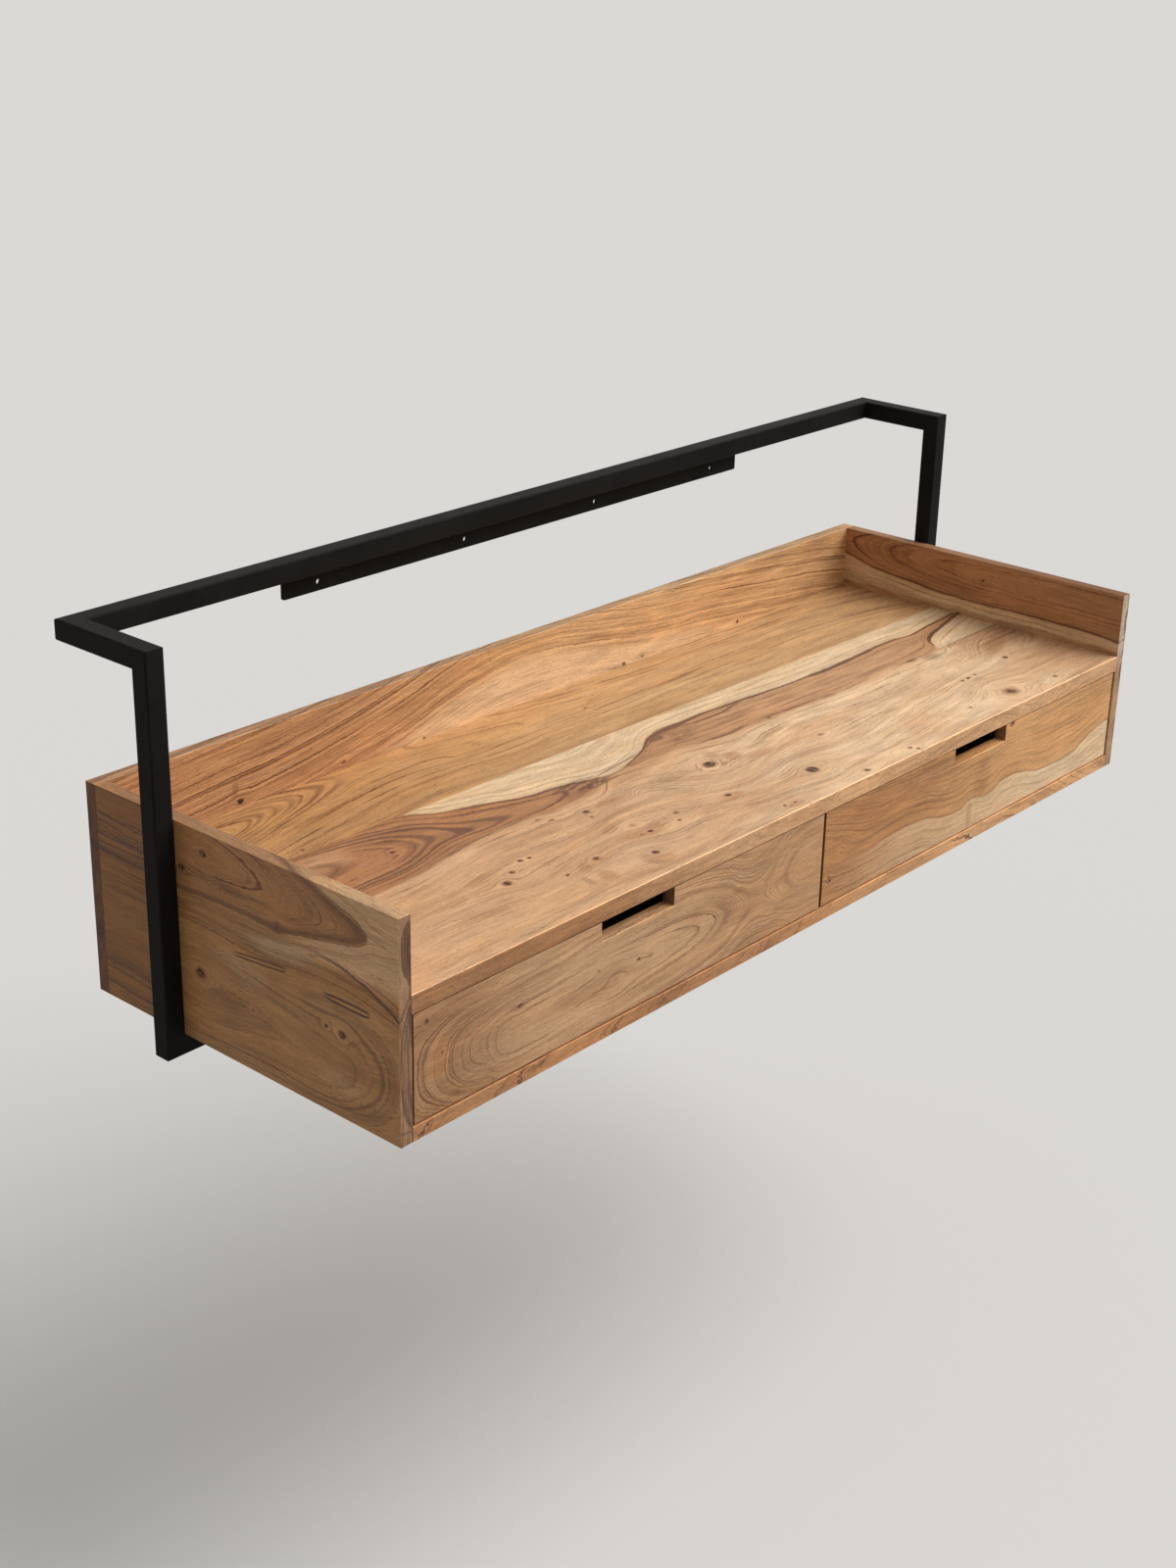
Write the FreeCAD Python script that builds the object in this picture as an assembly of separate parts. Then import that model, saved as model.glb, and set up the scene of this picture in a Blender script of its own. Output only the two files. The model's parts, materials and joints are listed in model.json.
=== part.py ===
"""Wall-hung writing desk: a solid wood tray with two drawers, held in a welded square-tube frame.

The desk hangs from a flat steel strip that is welded under the frame's top rail and screwed to the wall.
The frame runs out from the wall in two short arms, down both sides of the box in two posts, and under the
box in a bottom rail. Each drawer runs on a pair of full-extension ball slides. All sizes are millimetres.

Frame of reference: +Z is up, the wall is the plane y = 0 and the front faces -Y. The origin is on the wall
plane, at the middle of the line of screw holes in the strip.
"""

import FreeCAD
import Part
import os

V = FreeCAD.Vector
X_AXIS = V(1, 0, 0)
Y_AXIS = V(0, 1, 0)
Z_AXIS = V(0, 0, 1)

# ---- the wooden box
box_width = 1160.0
box_depth = 400.0
rim_height = 73.0  # the side and back panels stand this far above the worktop
drawer_opening_height = 105.0
side_thickness = 14.0
back_thickness = 14.0
top_thickness = 18.0
bottom_thickness = 14.0
divider_thickness = 14.0
edge_easing = 1.5  # rounding of the edges that a hand meets
fine_easing = 0.6  # rounding of every other open edge

# ---- the steel frame
tube_size = 20.0
tube_wall = 1.5
tube_corner = 2.0
frame_rise = 157.0  # top of the frame above the rim of the box
post_reach = 124.0  # wall to the front face of the posts
strip_drop = 23.0  # how far the strip hangs below the top rail
strip_hole_rise = 9.0  # line of screw holes above the strip's lower edge
strip_thickness = 3.0
strip_corner = 2.0
wall_hole_diameter = 5.5
wall_hole_count = 4
wall_hole_pitch = 200.0
strip_end_margin = 45.0  # last hole to the strip's end

# ---- the drawers
front_thickness = 14.0
front_recess = 1.0  # the drawer fronts stand this far behind the edges around them
front_side_gap = 2.5
front_middle_gap = 3.5
front_top_gap = 1.5
front_bottom_gap = 1.5
notch_width = 100.0
notch_drop = 20.0  # underside of the worktop to the floor of the finger notch
notch_corner = 1.0
drawer_side_thickness = 12.0
drawer_back_thickness = 12.0
drawer_floor_gap = 6.0  # drawer side above the bottom board
drawer_head_room = 23.0  # drawer side below the worktop
drawer_rear_gap = 17.0  # drawer back to the back panel
drawer_bottom_thickness = 5.0
drawer_bottom_rise = 8.0  # groove above the lower edge of the sides
groove_depth = 5.0
groove_clearance = 0.15

# ---- the ball slides
slide_height = 45.4
slide_depth = 12.7
slide_setback = 2.0  # the slides end this far short of the drawer's front and back
sheet = 1.0  # thickness of the rolled steel
member_clearance = 0.6  # between two members that pass each other
lip_clearance = 1.0  # end of each lip to the flange that it faces
ball_diameter = 3.5
ball_clearance = 0.05
balls_per_row = 6
ball_pitch = 18.0
cage_thickness = 0.6
cage_side_clearance = 0.3
cage_end_margin = 8.0
slide_hole_inset = 35.0  # first and last screw of a slide from its ends
slide_hole_count = 3
screw_stagger = 14.0  # keeps the screws in the divider's two faces apart
access_hole_diameter = 11.0

# ---- fasteners
dowel_diameter = 6.0
dowel_length = 24.0
dowel_in_face = 9.0  # depth of a dowel hole in the face of a board
drawer_dowel_length = 20.0
drawer_dowel_in_face = 7.5
hole_clearance = 0.05
hole_end_clearance = 0.5
dowel_end_margin = 45.0  # outermost dowels from the ends of a seam
drawer_dowel_margin = 12.0  # dowels from the drawer's floor and from the top of its sides
slide_screw_diameter = 3.5
slide_screw_head_diameter = 7.0
slide_screw_head_height = 1.8
slide_screw_bite = 10.0
frame_screw_diameter = 5.0
frame_screw_head_diameter = 9.5
frame_screw_head_height = 3.0
frame_screw_bite = 10.0  # depth in the bottom board
post_screw_reach = 7.0  # tip of the screw inside the post
bottom_screw_count = 4
bottom_screw_pitch = 320.0
recess_span = 0.64  # cross recess as a share of the head's diameter
recess_width = 0.18
recess_depth = 0.5  # and as a share of the head's height
crown_rounding = 0.45

# ---- places worked out from the sizes above
box_height = bottom_thickness + drawer_opening_height + top_thickness + rim_height
frame_top = tube_size + strip_drop - strip_hole_rise
box_top = frame_top - frame_rise
box_bottom = box_top - box_height
worktop_z = box_top - rim_height
opening_top = worktop_z - top_thickness
opening_bottom = box_bottom + bottom_thickness
frame_bottom = box_bottom - tube_size
side_outer_x = box_width / 2
side_inner_x = side_outer_x - side_thickness
frame_outer_x = side_outer_x + tube_size
front_y = -box_depth
panel_back_y = -back_thickness
divider_x = divider_thickness / 2
drawer_front_y = front_y + front_recess
drawer_front_back_y = drawer_front_y + front_thickness
divider_front_y = drawer_front_back_y + slide_setback
post_front_y = -post_reach
post_back_y = post_front_y + tube_size
post_middle_y = (post_front_y + post_back_y) / 2
rail_underside_z = frame_top - tube_size
strip_bottom_z = rail_underside_z - strip_drop
outer_hole_x = (wall_hole_count - 1) * wall_hole_pitch / 2
strip_end_x = outer_hole_x + strip_end_margin

drawer_bottom_z = opening_bottom + drawer_floor_gap
drawer_top_z = opening_top - drawer_head_room
drawer_rear_y = panel_back_y - drawer_rear_gap
floor_z = drawer_bottom_z + drawer_bottom_rise
slide_z = (drawer_bottom_z + drawer_top_z) / 2
slide_front_y = drawer_front_back_y + slide_setback
slide_rear_y = drawer_rear_y - slide_setback
slide_length = slide_rear_y - slide_front_y

# across a slide, measured from the face that carries it
middle_web_u = sheet + slide_screw_head_height + member_clearance
drawer_lip_u = middle_web_u + sheet + member_clearance
drawer_web_u = slide_depth - sheet
outer_lip_u = drawer_web_u - member_clearance / 2 - sheet
# flange heights of a slide, measured from its middle
cabinet_flange_z = slide_height / 2 - sheet
middle_flange_z = cabinet_flange_z - ball_diameter
drawer_flange_z = middle_flange_z - sheet - ball_diameter


# ---- shapes


def block(low, high):
    """A box between two opposite corners."""
    size = [h - l for l, h in zip(low, high)]
    return Part.makeBox(size[0], size[1], size[2], V(*low))


def ease(shape, radius, chosen):
    """Rounds the straight edges for which chosen(middle point, direction) is true."""
    edges = []
    for edge in shape.Edges:
        ends = [v.Point for v in edge.Vertexes]
        if len(ends) == 2 and isinstance(edge.Curve, (Part.Line, Part.LineSegment)):
            way = (ends[1] - ends[0]).normalize()
            if chosen((ends[0] + ends[1]) * 0.5, way):
                edges.append(edge)
    return shape.makeFillet(radius, edges) if edges else shape


def near(a, b):
    return abs(a - b) < 0.01


def along(direction, axis):
    return abs(direction.dot(axis)) > 0.99


def cylinder(start, direction, radius, length):
    return Part.makeCylinder(radius, length, start, direction)


def drill(shape, holes):
    """Cuts a list of cylinders from a shape."""
    return shape.cut(holes) if holes else shape


def node(name, *solids):
    """Writes one named sub-part, of one solid or of a group of separate solids."""
    shape = solids[0] if len(solids) == 1 else Part.makeCompound(list(solids))
    shape.exportStep(os.path.join("parts", name + ".step"))


def rounded_bar(low, high, axis, radius):
    """A box whose four edges along an axis are rounded."""
    return ease(block(low, high), radius, lambda middle, way: along(way, axis))


def tube(low, high, axis):
    """A square tube with rounded corners. It is hollow along the axis."""
    lows, highs = list(low), list(high)
    for i in range(3):
        if abs(axis[i]) < 0.5:
            lows[i] += tube_wall
            highs[i] -= tube_wall
    solid = rounded_bar(low, high, axis, tube_corner)
    return solid.cut(rounded_bar(lows, highs, axis, tube_corner - tube_wall))


def mitre(shape, point, outward):
    """Cuts away the end of a tube that lies beyond a plane through a point."""
    reach = 6 * tube_size
    cutter = Part.makeBox(reach, reach, reach, V(-reach / 2, -reach / 2, 0))
    cutter.Placement = FreeCAD.Placement(point, FreeCAD.Rotation(Z_AXIS, outward))
    return shape.cut(cutter)


def spread(first, last, count):
    """Evenly spaced positions from first to last."""
    return [first + (last - first) * i / (count - 1) for i in range(count)]


# ---- dowels: each joint is a line of points on the seam, with the way into the drilled face


def dowel_holes(joints, length, in_face):
    """Holes for dowels that cross seams. A joint is (point, way into the face)."""
    radius = dowel_diameter / 2 + hole_clearance
    holes = []
    for point, into in joints:
        start = point - into * (length - in_face + hole_end_clearance)
        holes.append(cylinder(start, into, radius, length + 2 * hole_end_clearance))
    return holes


def dowels(joints, length, in_face):
    solids = []
    for point, into in joints:
        start = point - into * (length - in_face)
        solids.append(cylinder(start, into, dowel_diameter / 2, length))
    return solids


def carcass_joints():
    """Every doweled seam of the box, as (point on the seam, way into the drilled face)."""
    rows = spread(front_y + dowel_end_margin, panel_back_y - dowel_end_margin, 3)
    worktop_mid = worktop_z - top_thickness / 2
    bottom_mid = box_bottom + bottom_thickness / 2
    joints = []
    for sign in (-1, 1):
        for z in (worktop_mid, bottom_mid):
            joints += [(V(sign * side_inner_x, y, z), X_AXIS * sign) for y in rows]
        back_x = sign * (side_outer_x - side_thickness / 2)
        for z in (box_bottom + dowel_end_margin, box_top - dowel_end_margin):
            joints.append((V(back_x, panel_back_y, z), Y_AXIS))
    for x in spread(-side_inner_x + dowel_end_margin, side_inner_x - dowel_end_margin, 4):
        joints += [(V(x, panel_back_y, z), Y_AXIS) for z in (worktop_mid, bottom_mid)]
    for y in (divider_front_y + dowel_end_margin, panel_back_y - dowel_end_margin):
        joints.append((V(0, y, opening_top), Z_AXIS))
        joints.append((V(0, y, opening_bottom), -Z_AXIS))
    return joints


# ---- screws: a screw is (point under its head, way it drives in)


def screw(point, into, diameter, head_diameter, head_height, length):
    """A pan-head screw with a cross recess."""
    head = cylinder(point - into * head_height, into, head_diameter / 2, head_height)
    top = point - into * head_height
    rims = [e for e in head.Edges if isinstance(e.Curve, Part.Circle)]
    crown = [e for e in rims if e.Curve.Center.isEqual(top, 0.01)]
    head = head.makeFillet(head_height * crown_rounding, crown)
    solid = head.fuse(cylinder(point, into, diameter / 2, length)).removeSplitter()
    across = Z_AXIS if abs(into.dot(Z_AXIS)) < 0.5 else X_AXIS
    span = head_diameter * recess_span
    width = head_diameter * recess_width
    for way in (across, into.cross(across)):
        bar = Part.makeBox(span, width, head_height * recess_depth, V(-span / 2, -width / 2, 0))
        bar.Placement = FreeCAD.Placement(top, FreeCAD.Rotation(way, into.cross(way), into, "XZY"))
        solid = solid.cut(bar)
    return solid


def pilot(point, into, diameter, length):
    return cylinder(point, into, diameter / 2 + hole_clearance, length + hole_end_clearance)


def bottom_screw_points():
    reach = (bottom_screw_count - 1) * bottom_screw_pitch / 2
    return [V(x, post_middle_y, frame_bottom) for x in spread(-reach, reach, bottom_screw_count)]


def post_screw_points(sign):
    """Screws from inside the drawer opening through a side panel into its post."""
    below = (opening_bottom + slide_z - slide_height / 2) / 2
    above = (opening_top + slide_z + slide_height / 2) / 2
    return [V(sign * side_inner_x, post_middle_y, z) for z in (below, above)]


# ---- slides


def slide_faces():
    """The four slides: (drawer, hand, x of the face that carries it, way towards the drawer, screw shift)."""
    return [
        ("left", "left", -side_inner_x, 1, 0.0),
        ("left", "right", -divider_x, -1, 0.0),
        ("right", "left", divider_x, 1, screw_stagger),
        ("right", "right", side_inner_x, -1, screw_stagger),
    ]


def slide_screw_rows(shift):
    first = slide_front_y + slide_hole_inset + shift
    last = slide_rear_y - slide_hole_inset - screw_stagger + shift
    return spread(first, last, slide_hole_count)


def channel(points, face_x, way):
    """A rolled member: half of its section as (offset from the face, height), mirrored about the middle."""
    outline = points + [(u, -z) for u, z in reversed(points)]
    corners = [V(face_x + way * u, slide_front_y, slide_z + z) for u, z in outline]
    wire = Part.makePolygon(corners + [corners[0]])
    return Part.Face(wire).extrude(Y_AXIS * slide_length)


def cabinet_member(face_x, way, rows):
    edge = slide_height / 2
    lip_end = middle_flange_z + lip_clearance
    half = [
        (0, edge),
        (outer_lip_u + sheet, edge),
        (outer_lip_u + sheet, lip_end),
        (outer_lip_u, lip_end),
        (outer_lip_u, cabinet_flange_z),
        (sheet, cabinet_flange_z),
    ]
    member = channel(half, face_x, way)
    radius = slide_screw_diameter / 2 + hole_clearance
    return drill(member, [cylinder(V(face_x, y, slide_z), X_AXIS * way, radius, sheet) for y in rows])


def middle_member(face_x, way, rows):
    web_back = middle_web_u + sheet
    tip = cabinet_flange_z - lip_clearance
    lip_end = drawer_flange_z + lip_clearance
    half = [
        (middle_web_u, tip),
        (web_back, tip),
        (web_back, middle_flange_z),
        (outer_lip_u + sheet, middle_flange_z),
        (outer_lip_u + sheet, lip_end),
        (outer_lip_u, lip_end),
        (outer_lip_u, middle_flange_z - sheet),
        (web_back, middle_flange_z - sheet),
    ]
    member = channel(half, face_x, way)
    start = face_x + way * middle_web_u
    holes = [cylinder(V(start, y, slide_z), X_AXIS * way, access_hole_diameter / 2, sheet) for y in rows]
    return drill(member, holes)


def drawer_member(face_x, way, rows):
    tip = middle_flange_z - sheet - lip_clearance
    half = [
        (slide_depth, drawer_flange_z),
        (drawer_lip_u + sheet, drawer_flange_z),
        (drawer_lip_u + sheet, tip),
        (drawer_lip_u, tip),
        (drawer_lip_u, drawer_flange_z - sheet),
        (drawer_web_u, drawer_flange_z - sheet),
    ]
    member = channel(half, face_x, way)
    radius = slide_screw_diameter / 2 + hole_clearance
    start = face_x + way * drawer_web_u
    return drill(member, [cylinder(V(start, y, slide_z), X_AXIS * way, radius, sheet) for y in rows])


def ball_stage(face_x, way, low_u, high_u, ball_z, middle_y):
    """The two cage strips of one ball track, above and below, and their balls."""
    half_run = (balls_per_row - 1) * ball_pitch / 2
    centre_u = (low_u + high_u) / 2
    strips, balls = [], []
    for z in (slide_z + ball_z, slide_z - ball_z):
        edges = (low_u + cage_side_clearance, high_u - cage_side_clearance)
        xs = sorted(face_x + way * u for u in edges)
        reach = half_run + cage_end_margin
        strip = block(
            (xs[0], middle_y - reach, z - cage_thickness / 2),
            (xs[1], middle_y + reach, z + cage_thickness / 2),
        )
        for y in spread(middle_y - half_run, middle_y + half_run, balls_per_row):
            centre = V(face_x + way * centre_u, y, z)
            bottom = centre - Z_AXIS * cage_thickness
            strip = strip.cut(
                cylinder(bottom, Z_AXIS, ball_diameter / 2 + hole_clearance, 2 * cage_thickness)
            )
            balls.append(Part.makeSphere(ball_diameter / 2 - ball_clearance, centre))
        strips.append(strip)
    return strips, balls


# ---- the box


def make_carcass():
    holes = dowel_holes(carcass_joints(), dowel_length, dowel_in_face)
    slide_pilots = []
    for _, _, face_x, way, shift in slide_faces():
        for y in slide_screw_rows(shift):
            slide_pilots.append(
                pilot(V(face_x, y, slide_z), X_AXIS * -way, slide_screw_diameter, slide_screw_bite)
            )

    back = block((-side_outer_x, panel_back_y, box_bottom), (side_outer_x, 0, box_top))
    back = ease(back, fine_easing, lambda m, d: near(m.z, box_top) or near(abs(m.x), side_outer_x))
    node("back_panel", drill(back, holes))

    for name, sign in (("left", -1), ("right", 1)):
        inner, outer = sorted((sign * side_inner_x, sign * side_outer_x))
        panel = block((inner, front_y, box_bottom), (outer, panel_back_y, box_top))
        panel = ease(
            panel,
            fine_easing,
            lambda m, d: near(m.y, front_y) or (near(m.z, box_top) and along(d, Y_AXIS))
            or (near(m.z, box_bottom) and near(abs(m.x), side_outer_x)),
        )
        post_pilots = [
            cylinder(p, X_AXIS * sign, frame_screw_diameter / 2 + hole_clearance, side_thickness)
            for p in post_screw_points(sign)
        ]
        node(name + "_side_panel", drill(panel, holes + slide_pilots + post_pilots))

    worktop = block((-side_inner_x, front_y, opening_top), (side_inner_x, panel_back_y, worktop_z))
    worktop = ease(worktop, edge_easing, lambda m, d: near(m.y, front_y) and near(m.z, worktop_z))
    worktop = ease(worktop, fine_easing, lambda m, d: near(m.y, front_y) and near(m.z, opening_top))
    node("worktop", drill(worktop, holes))

    bottom = block((-side_inner_x, front_y, box_bottom), (side_inner_x, panel_back_y, opening_bottom))
    bottom = ease(bottom, fine_easing, lambda m, d: near(m.y, front_y) and along(d, X_AXIS))
    rail_pilots = [
        pilot(p + Z_AXIS * tube_size, Z_AXIS, frame_screw_diameter, frame_screw_bite)
        for p in bottom_screw_points()
    ]
    node("bottom_board", drill(bottom, holes + rail_pilots))

    divider = block((-divider_x, divider_front_y, opening_bottom), (divider_x, panel_back_y, opening_top))
    node("centre_divider", drill(divider, holes + slide_pilots))
    node("carcass_dowels", *dowels(carcass_joints(), dowel_length, dowel_in_face))


# ---- the frame


def make_frame():
    for name, sign in (("left", -1), ("right", 1)):
        xs = sorted((sign * side_outer_x, sign * frame_outer_x))
        wall_corner = V(sign * frame_outer_x, 0, frame_top)
        front_corner = V(sign * frame_outer_x, post_front_y, frame_top)
        low_corner = V(sign * frame_outer_x, post_front_y, frame_bottom)

        arm = tube((xs[0], post_front_y, rail_underside_z), (xs[1], 0, frame_top), Y_AXIS)
        arm = mitre(arm, wall_corner, V(-sign, 1, 0))
        arm = mitre(arm, front_corner, V(0, -1, -1))
        node("frame_" + name + "_arm", arm)

        post = tube((xs[0], post_front_y, frame_bottom), (xs[1], post_back_y, frame_top), Z_AXIS)
        post = mitre(post, front_corner, V(0, 1, 1))
        post = mitre(post, low_corner, V(-sign, 0, -1))
        pilots = [
            pilot(p, X_AXIS * sign, frame_screw_diameter, side_thickness + post_screw_reach)
            for p in post_screw_points(sign)
        ]
        node("frame_" + name + "_post", drill(post, pilots))

    end = frame_outer_x
    top_rail = tube((-end, -tube_size, rail_underside_z), (end, 0, frame_top), X_AXIS)
    bottom_rail = tube((-end, post_front_y, frame_bottom), (end, post_back_y, box_bottom), X_AXIS)
    for sign in (-1, 1):
        top_rail = mitre(top_rail, V(sign * end, 0, frame_top), V(sign, -1, 0))
        bottom_rail = mitre(bottom_rail, V(sign * end, post_front_y, frame_bottom), V(sign, 0, 1))
    through = [pilot(p, Z_AXIS, frame_screw_diameter, tube_size) for p in bottom_screw_points()]
    node("frame_top_rail", top_rail)
    node("frame_bottom_rail", drill(bottom_rail, through))

    strip = block((-strip_end_x, -strip_thickness, strip_bottom_z), (strip_end_x, 0, rail_underside_z))
    strip = ease(strip, strip_corner, lambda m, d: along(d, Y_AXIS) and near(m.z, strip_bottom_z))
    holes = [
        cylinder(V(x, -strip_thickness, 0), Y_AXIS, wall_hole_diameter / 2, strip_thickness)
        for x in spread(-outer_hole_x, outer_hole_x, wall_hole_count)
    ]
    node("wall_strip", drill(strip, holes))


def make_frame_screws():
    size = (frame_screw_diameter, frame_screw_head_diameter, frame_screw_head_height)
    length = tube_size + frame_screw_bite
    node("bottom_rail_screws", *[screw(p, Z_AXIS, *size, length) for p in bottom_screw_points()])
    length = side_thickness + post_screw_reach
    sides = [(p, X_AXIS * sign) for sign in (-1, 1) for p in post_screw_points(sign)]
    node("post_screws", *[screw(p, into, *size, length) for p, into in sides])


# ---- the drawers


def drawer_edges(drawer):
    """The drawer's front and its box, as x ranges."""
    if drawer == "left":
        front = (-side_inner_x + front_side_gap, -front_middle_gap / 2)
        body = (-side_inner_x + slide_depth, -divider_x - slide_depth)
    else:
        front = (front_middle_gap / 2, side_inner_x - front_side_gap)
        body = (divider_x + slide_depth, side_inner_x - slide_depth)
    return front, body


def make_drawer(drawer):
    front_x, body_x = drawer_edges(drawer)
    inner_x = (body_x[0] + drawer_side_thickness, body_x[1] - drawer_side_thickness)
    back_front_y = drawer_rear_y - drawer_back_thickness
    lowest = floor_z + drawer_bottom_thickness + drawer_dowel_margin
    dowel_heights = (lowest, drawer_top_z - drawer_dowel_margin)

    joints = []
    for x in (body_x[0] + drawer_side_thickness / 2, body_x[1] - drawer_side_thickness / 2):
        joints += [(V(x, drawer_front_back_y, z), -Y_AXIS) for z in dowel_heights]
    for x, way in ((inner_x[0], -1), (inner_x[1], 1)):
        joints += [
            (V(x, drawer_rear_y - drawer_back_thickness / 2, z), X_AXIS * way) for z in dowel_heights
        ]
    holes = dowel_holes(joints, drawer_dowel_length, drawer_dowel_in_face)

    floor_top = floor_z + drawer_bottom_thickness
    groove = block(
        (inner_x[0] - groove_depth, drawer_front_back_y - groove_depth, floor_z - groove_clearance),
        (inner_x[1] + groove_depth, back_front_y + groove_depth, floor_top + groove_clearance),
    )

    front_low, front_high = opening_bottom + front_bottom_gap, opening_top - front_top_gap
    front = block((front_x[0], drawer_front_y, front_low), (front_x[1], drawer_front_back_y, front_high))
    notch_middle = sum(front_x) / 2
    notch_floor = opening_top - notch_drop
    notch = block(
        (notch_middle - notch_width / 2, drawer_front_y, notch_floor),
        (notch_middle + notch_width / 2, drawer_front_back_y, opening_top),
    )
    front = front.cut(ease(notch, notch_corner, lambda m, d: along(d, Y_AXIS) and near(m.z, notch_floor)))
    front = ease(front, fine_easing, lambda m, d: near(m.y, drawer_front_y))
    node(drawer + "_drawer_front", drill(front, holes + [groove]))

    screw_holes = []
    for owner, _, face_x, way, shift in slide_faces():
        if owner == drawer:
            wood_x = face_x + way * slide_depth
            screw_holes += [
                pilot(V(wood_x, y, slide_z), X_AXIS * way, slide_screw_diameter, slide_screw_bite - sheet)
                for y in slide_screw_rows(shift)
            ]
    for hand, xs in (("left", (body_x[0], inner_x[0])), ("right", (inner_x[1], body_x[1]))):
        board = block((xs[0], drawer_front_back_y, drawer_bottom_z), (xs[1], drawer_rear_y, drawer_top_z))
        board = ease(board, fine_easing, lambda m, d: near(m.z, drawer_top_z) and along(d, Y_AXIS))
        node(drawer + "_drawer_" + hand + "_side", drill(board, holes + screw_holes + [groove]))

    back = block((inner_x[0], back_front_y, drawer_bottom_z), (inner_x[1], drawer_rear_y, drawer_top_z))
    back = ease(back, fine_easing, lambda m, d: near(m.z, drawer_top_z) and along(d, X_AXIS))
    node(drawer + "_drawer_back", drill(back, holes + [groove]))

    tongue = groove_depth - groove_clearance
    floor = block(
        (inner_x[0] - tongue, drawer_front_back_y - tongue, floor_z),
        (inner_x[1] + tongue, back_front_y + tongue, floor_top),
    )
    node(drawer + "_drawer_bottom", floor)
    node(drawer + "_drawer_dowels", *dowels(joints, drawer_dowel_length, drawer_dowel_in_face))


def make_slides():
    cabinet_screws = []
    middle_y = (slide_front_y + slide_rear_y) / 2
    size = (slide_screw_diameter, slide_screw_head_diameter, slide_screw_head_height)
    for drawer in ("left", "right"):
        drawer_screws = []
        for owner, hand, face_x, way, shift in slide_faces():
            if owner != drawer:
                continue
            name = drawer + "_drawer_" + hand + "_slide_"
            rows = slide_screw_rows(shift)
            node(name + "cabinet_member", cabinet_member(face_x, way, rows))
            node(name + "middle_member", middle_member(face_x, way, rows))
            node(name + "drawer_member", drawer_member(face_x, way, rows))
            stages = (
                ("rear", middle_web_u + sheet, cabinet_flange_z - ball_diameter / 2),
                ("front", drawer_lip_u + sheet, drawer_flange_z + ball_diameter / 2),
            )
            for stage, low_u, ball_z in stages:
                strips, balls = ball_stage(face_x, way, low_u, outer_lip_u, ball_z, middle_y)
                node(name + stage + "_ball_cage", *strips)
                node(name + stage + "_balls", *balls)
            under_head = face_x + way * sheet
            drawer_head = face_x + way * drawer_web_u
            for y in rows:
                out, inward = V(under_head, y, slide_z), V(drawer_head, y, slide_z)
                cabinet_screws.append(screw(out, X_AXIS * -way, *size, slide_screw_bite))
                drawer_screws.append(screw(inward, X_AXIS * way, *size, slide_screw_bite))
        node(drawer + "_drawer_slide_screws", *drawer_screws)
    node("cabinet_slide_screws", *cabinet_screws)


os.makedirs("parts", exist_ok=True)
make_carcass()
make_frame()
make_frame_screws()
for drawer_name in ("left", "right"):
    make_drawer(drawer_name)
make_slides()
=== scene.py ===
# %% [markdown]
# # A floating wall desk in acacia and black steel
#
# The desk is a shallow box of solid acacia boards that hangs from a frame of square black tube.
# Its boards, tubes, drawers and slides are already modelled as CAD solids. Their shapes are
# right, so this lesson gives them what CAD leaves out: timber with a figure of its own on every
# board, powder coat, plated steel, a floor, lamps and a camera.
#
# A timber pattern could be a picture wrapped round the board. Here it is computed instead,
# because a computed pattern is a solid one: it runs through the board, so the end grain agrees
# with the face, and it stays sharp at any size.

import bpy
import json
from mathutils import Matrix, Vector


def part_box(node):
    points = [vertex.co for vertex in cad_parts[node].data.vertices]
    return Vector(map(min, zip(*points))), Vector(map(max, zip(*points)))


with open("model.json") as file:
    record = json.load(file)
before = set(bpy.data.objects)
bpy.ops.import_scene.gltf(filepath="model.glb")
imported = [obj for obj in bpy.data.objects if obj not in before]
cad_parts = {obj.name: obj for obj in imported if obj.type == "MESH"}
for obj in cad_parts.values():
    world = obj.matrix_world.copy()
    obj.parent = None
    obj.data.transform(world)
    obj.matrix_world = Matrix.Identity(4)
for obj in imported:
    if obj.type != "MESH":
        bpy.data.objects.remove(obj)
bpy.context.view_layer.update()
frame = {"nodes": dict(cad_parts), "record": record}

# %% Tools of the lesson
import json
import math

import bpy
from mathutils import Vector

NODES = frame["nodes"]
MM = 1000
X, Y, Z = range(3)
slots = sorted({material["slot"] for material in frame["record"]["materials"]})
print(len(NODES), "CAD nodes, with the material slots", slots)
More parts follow.
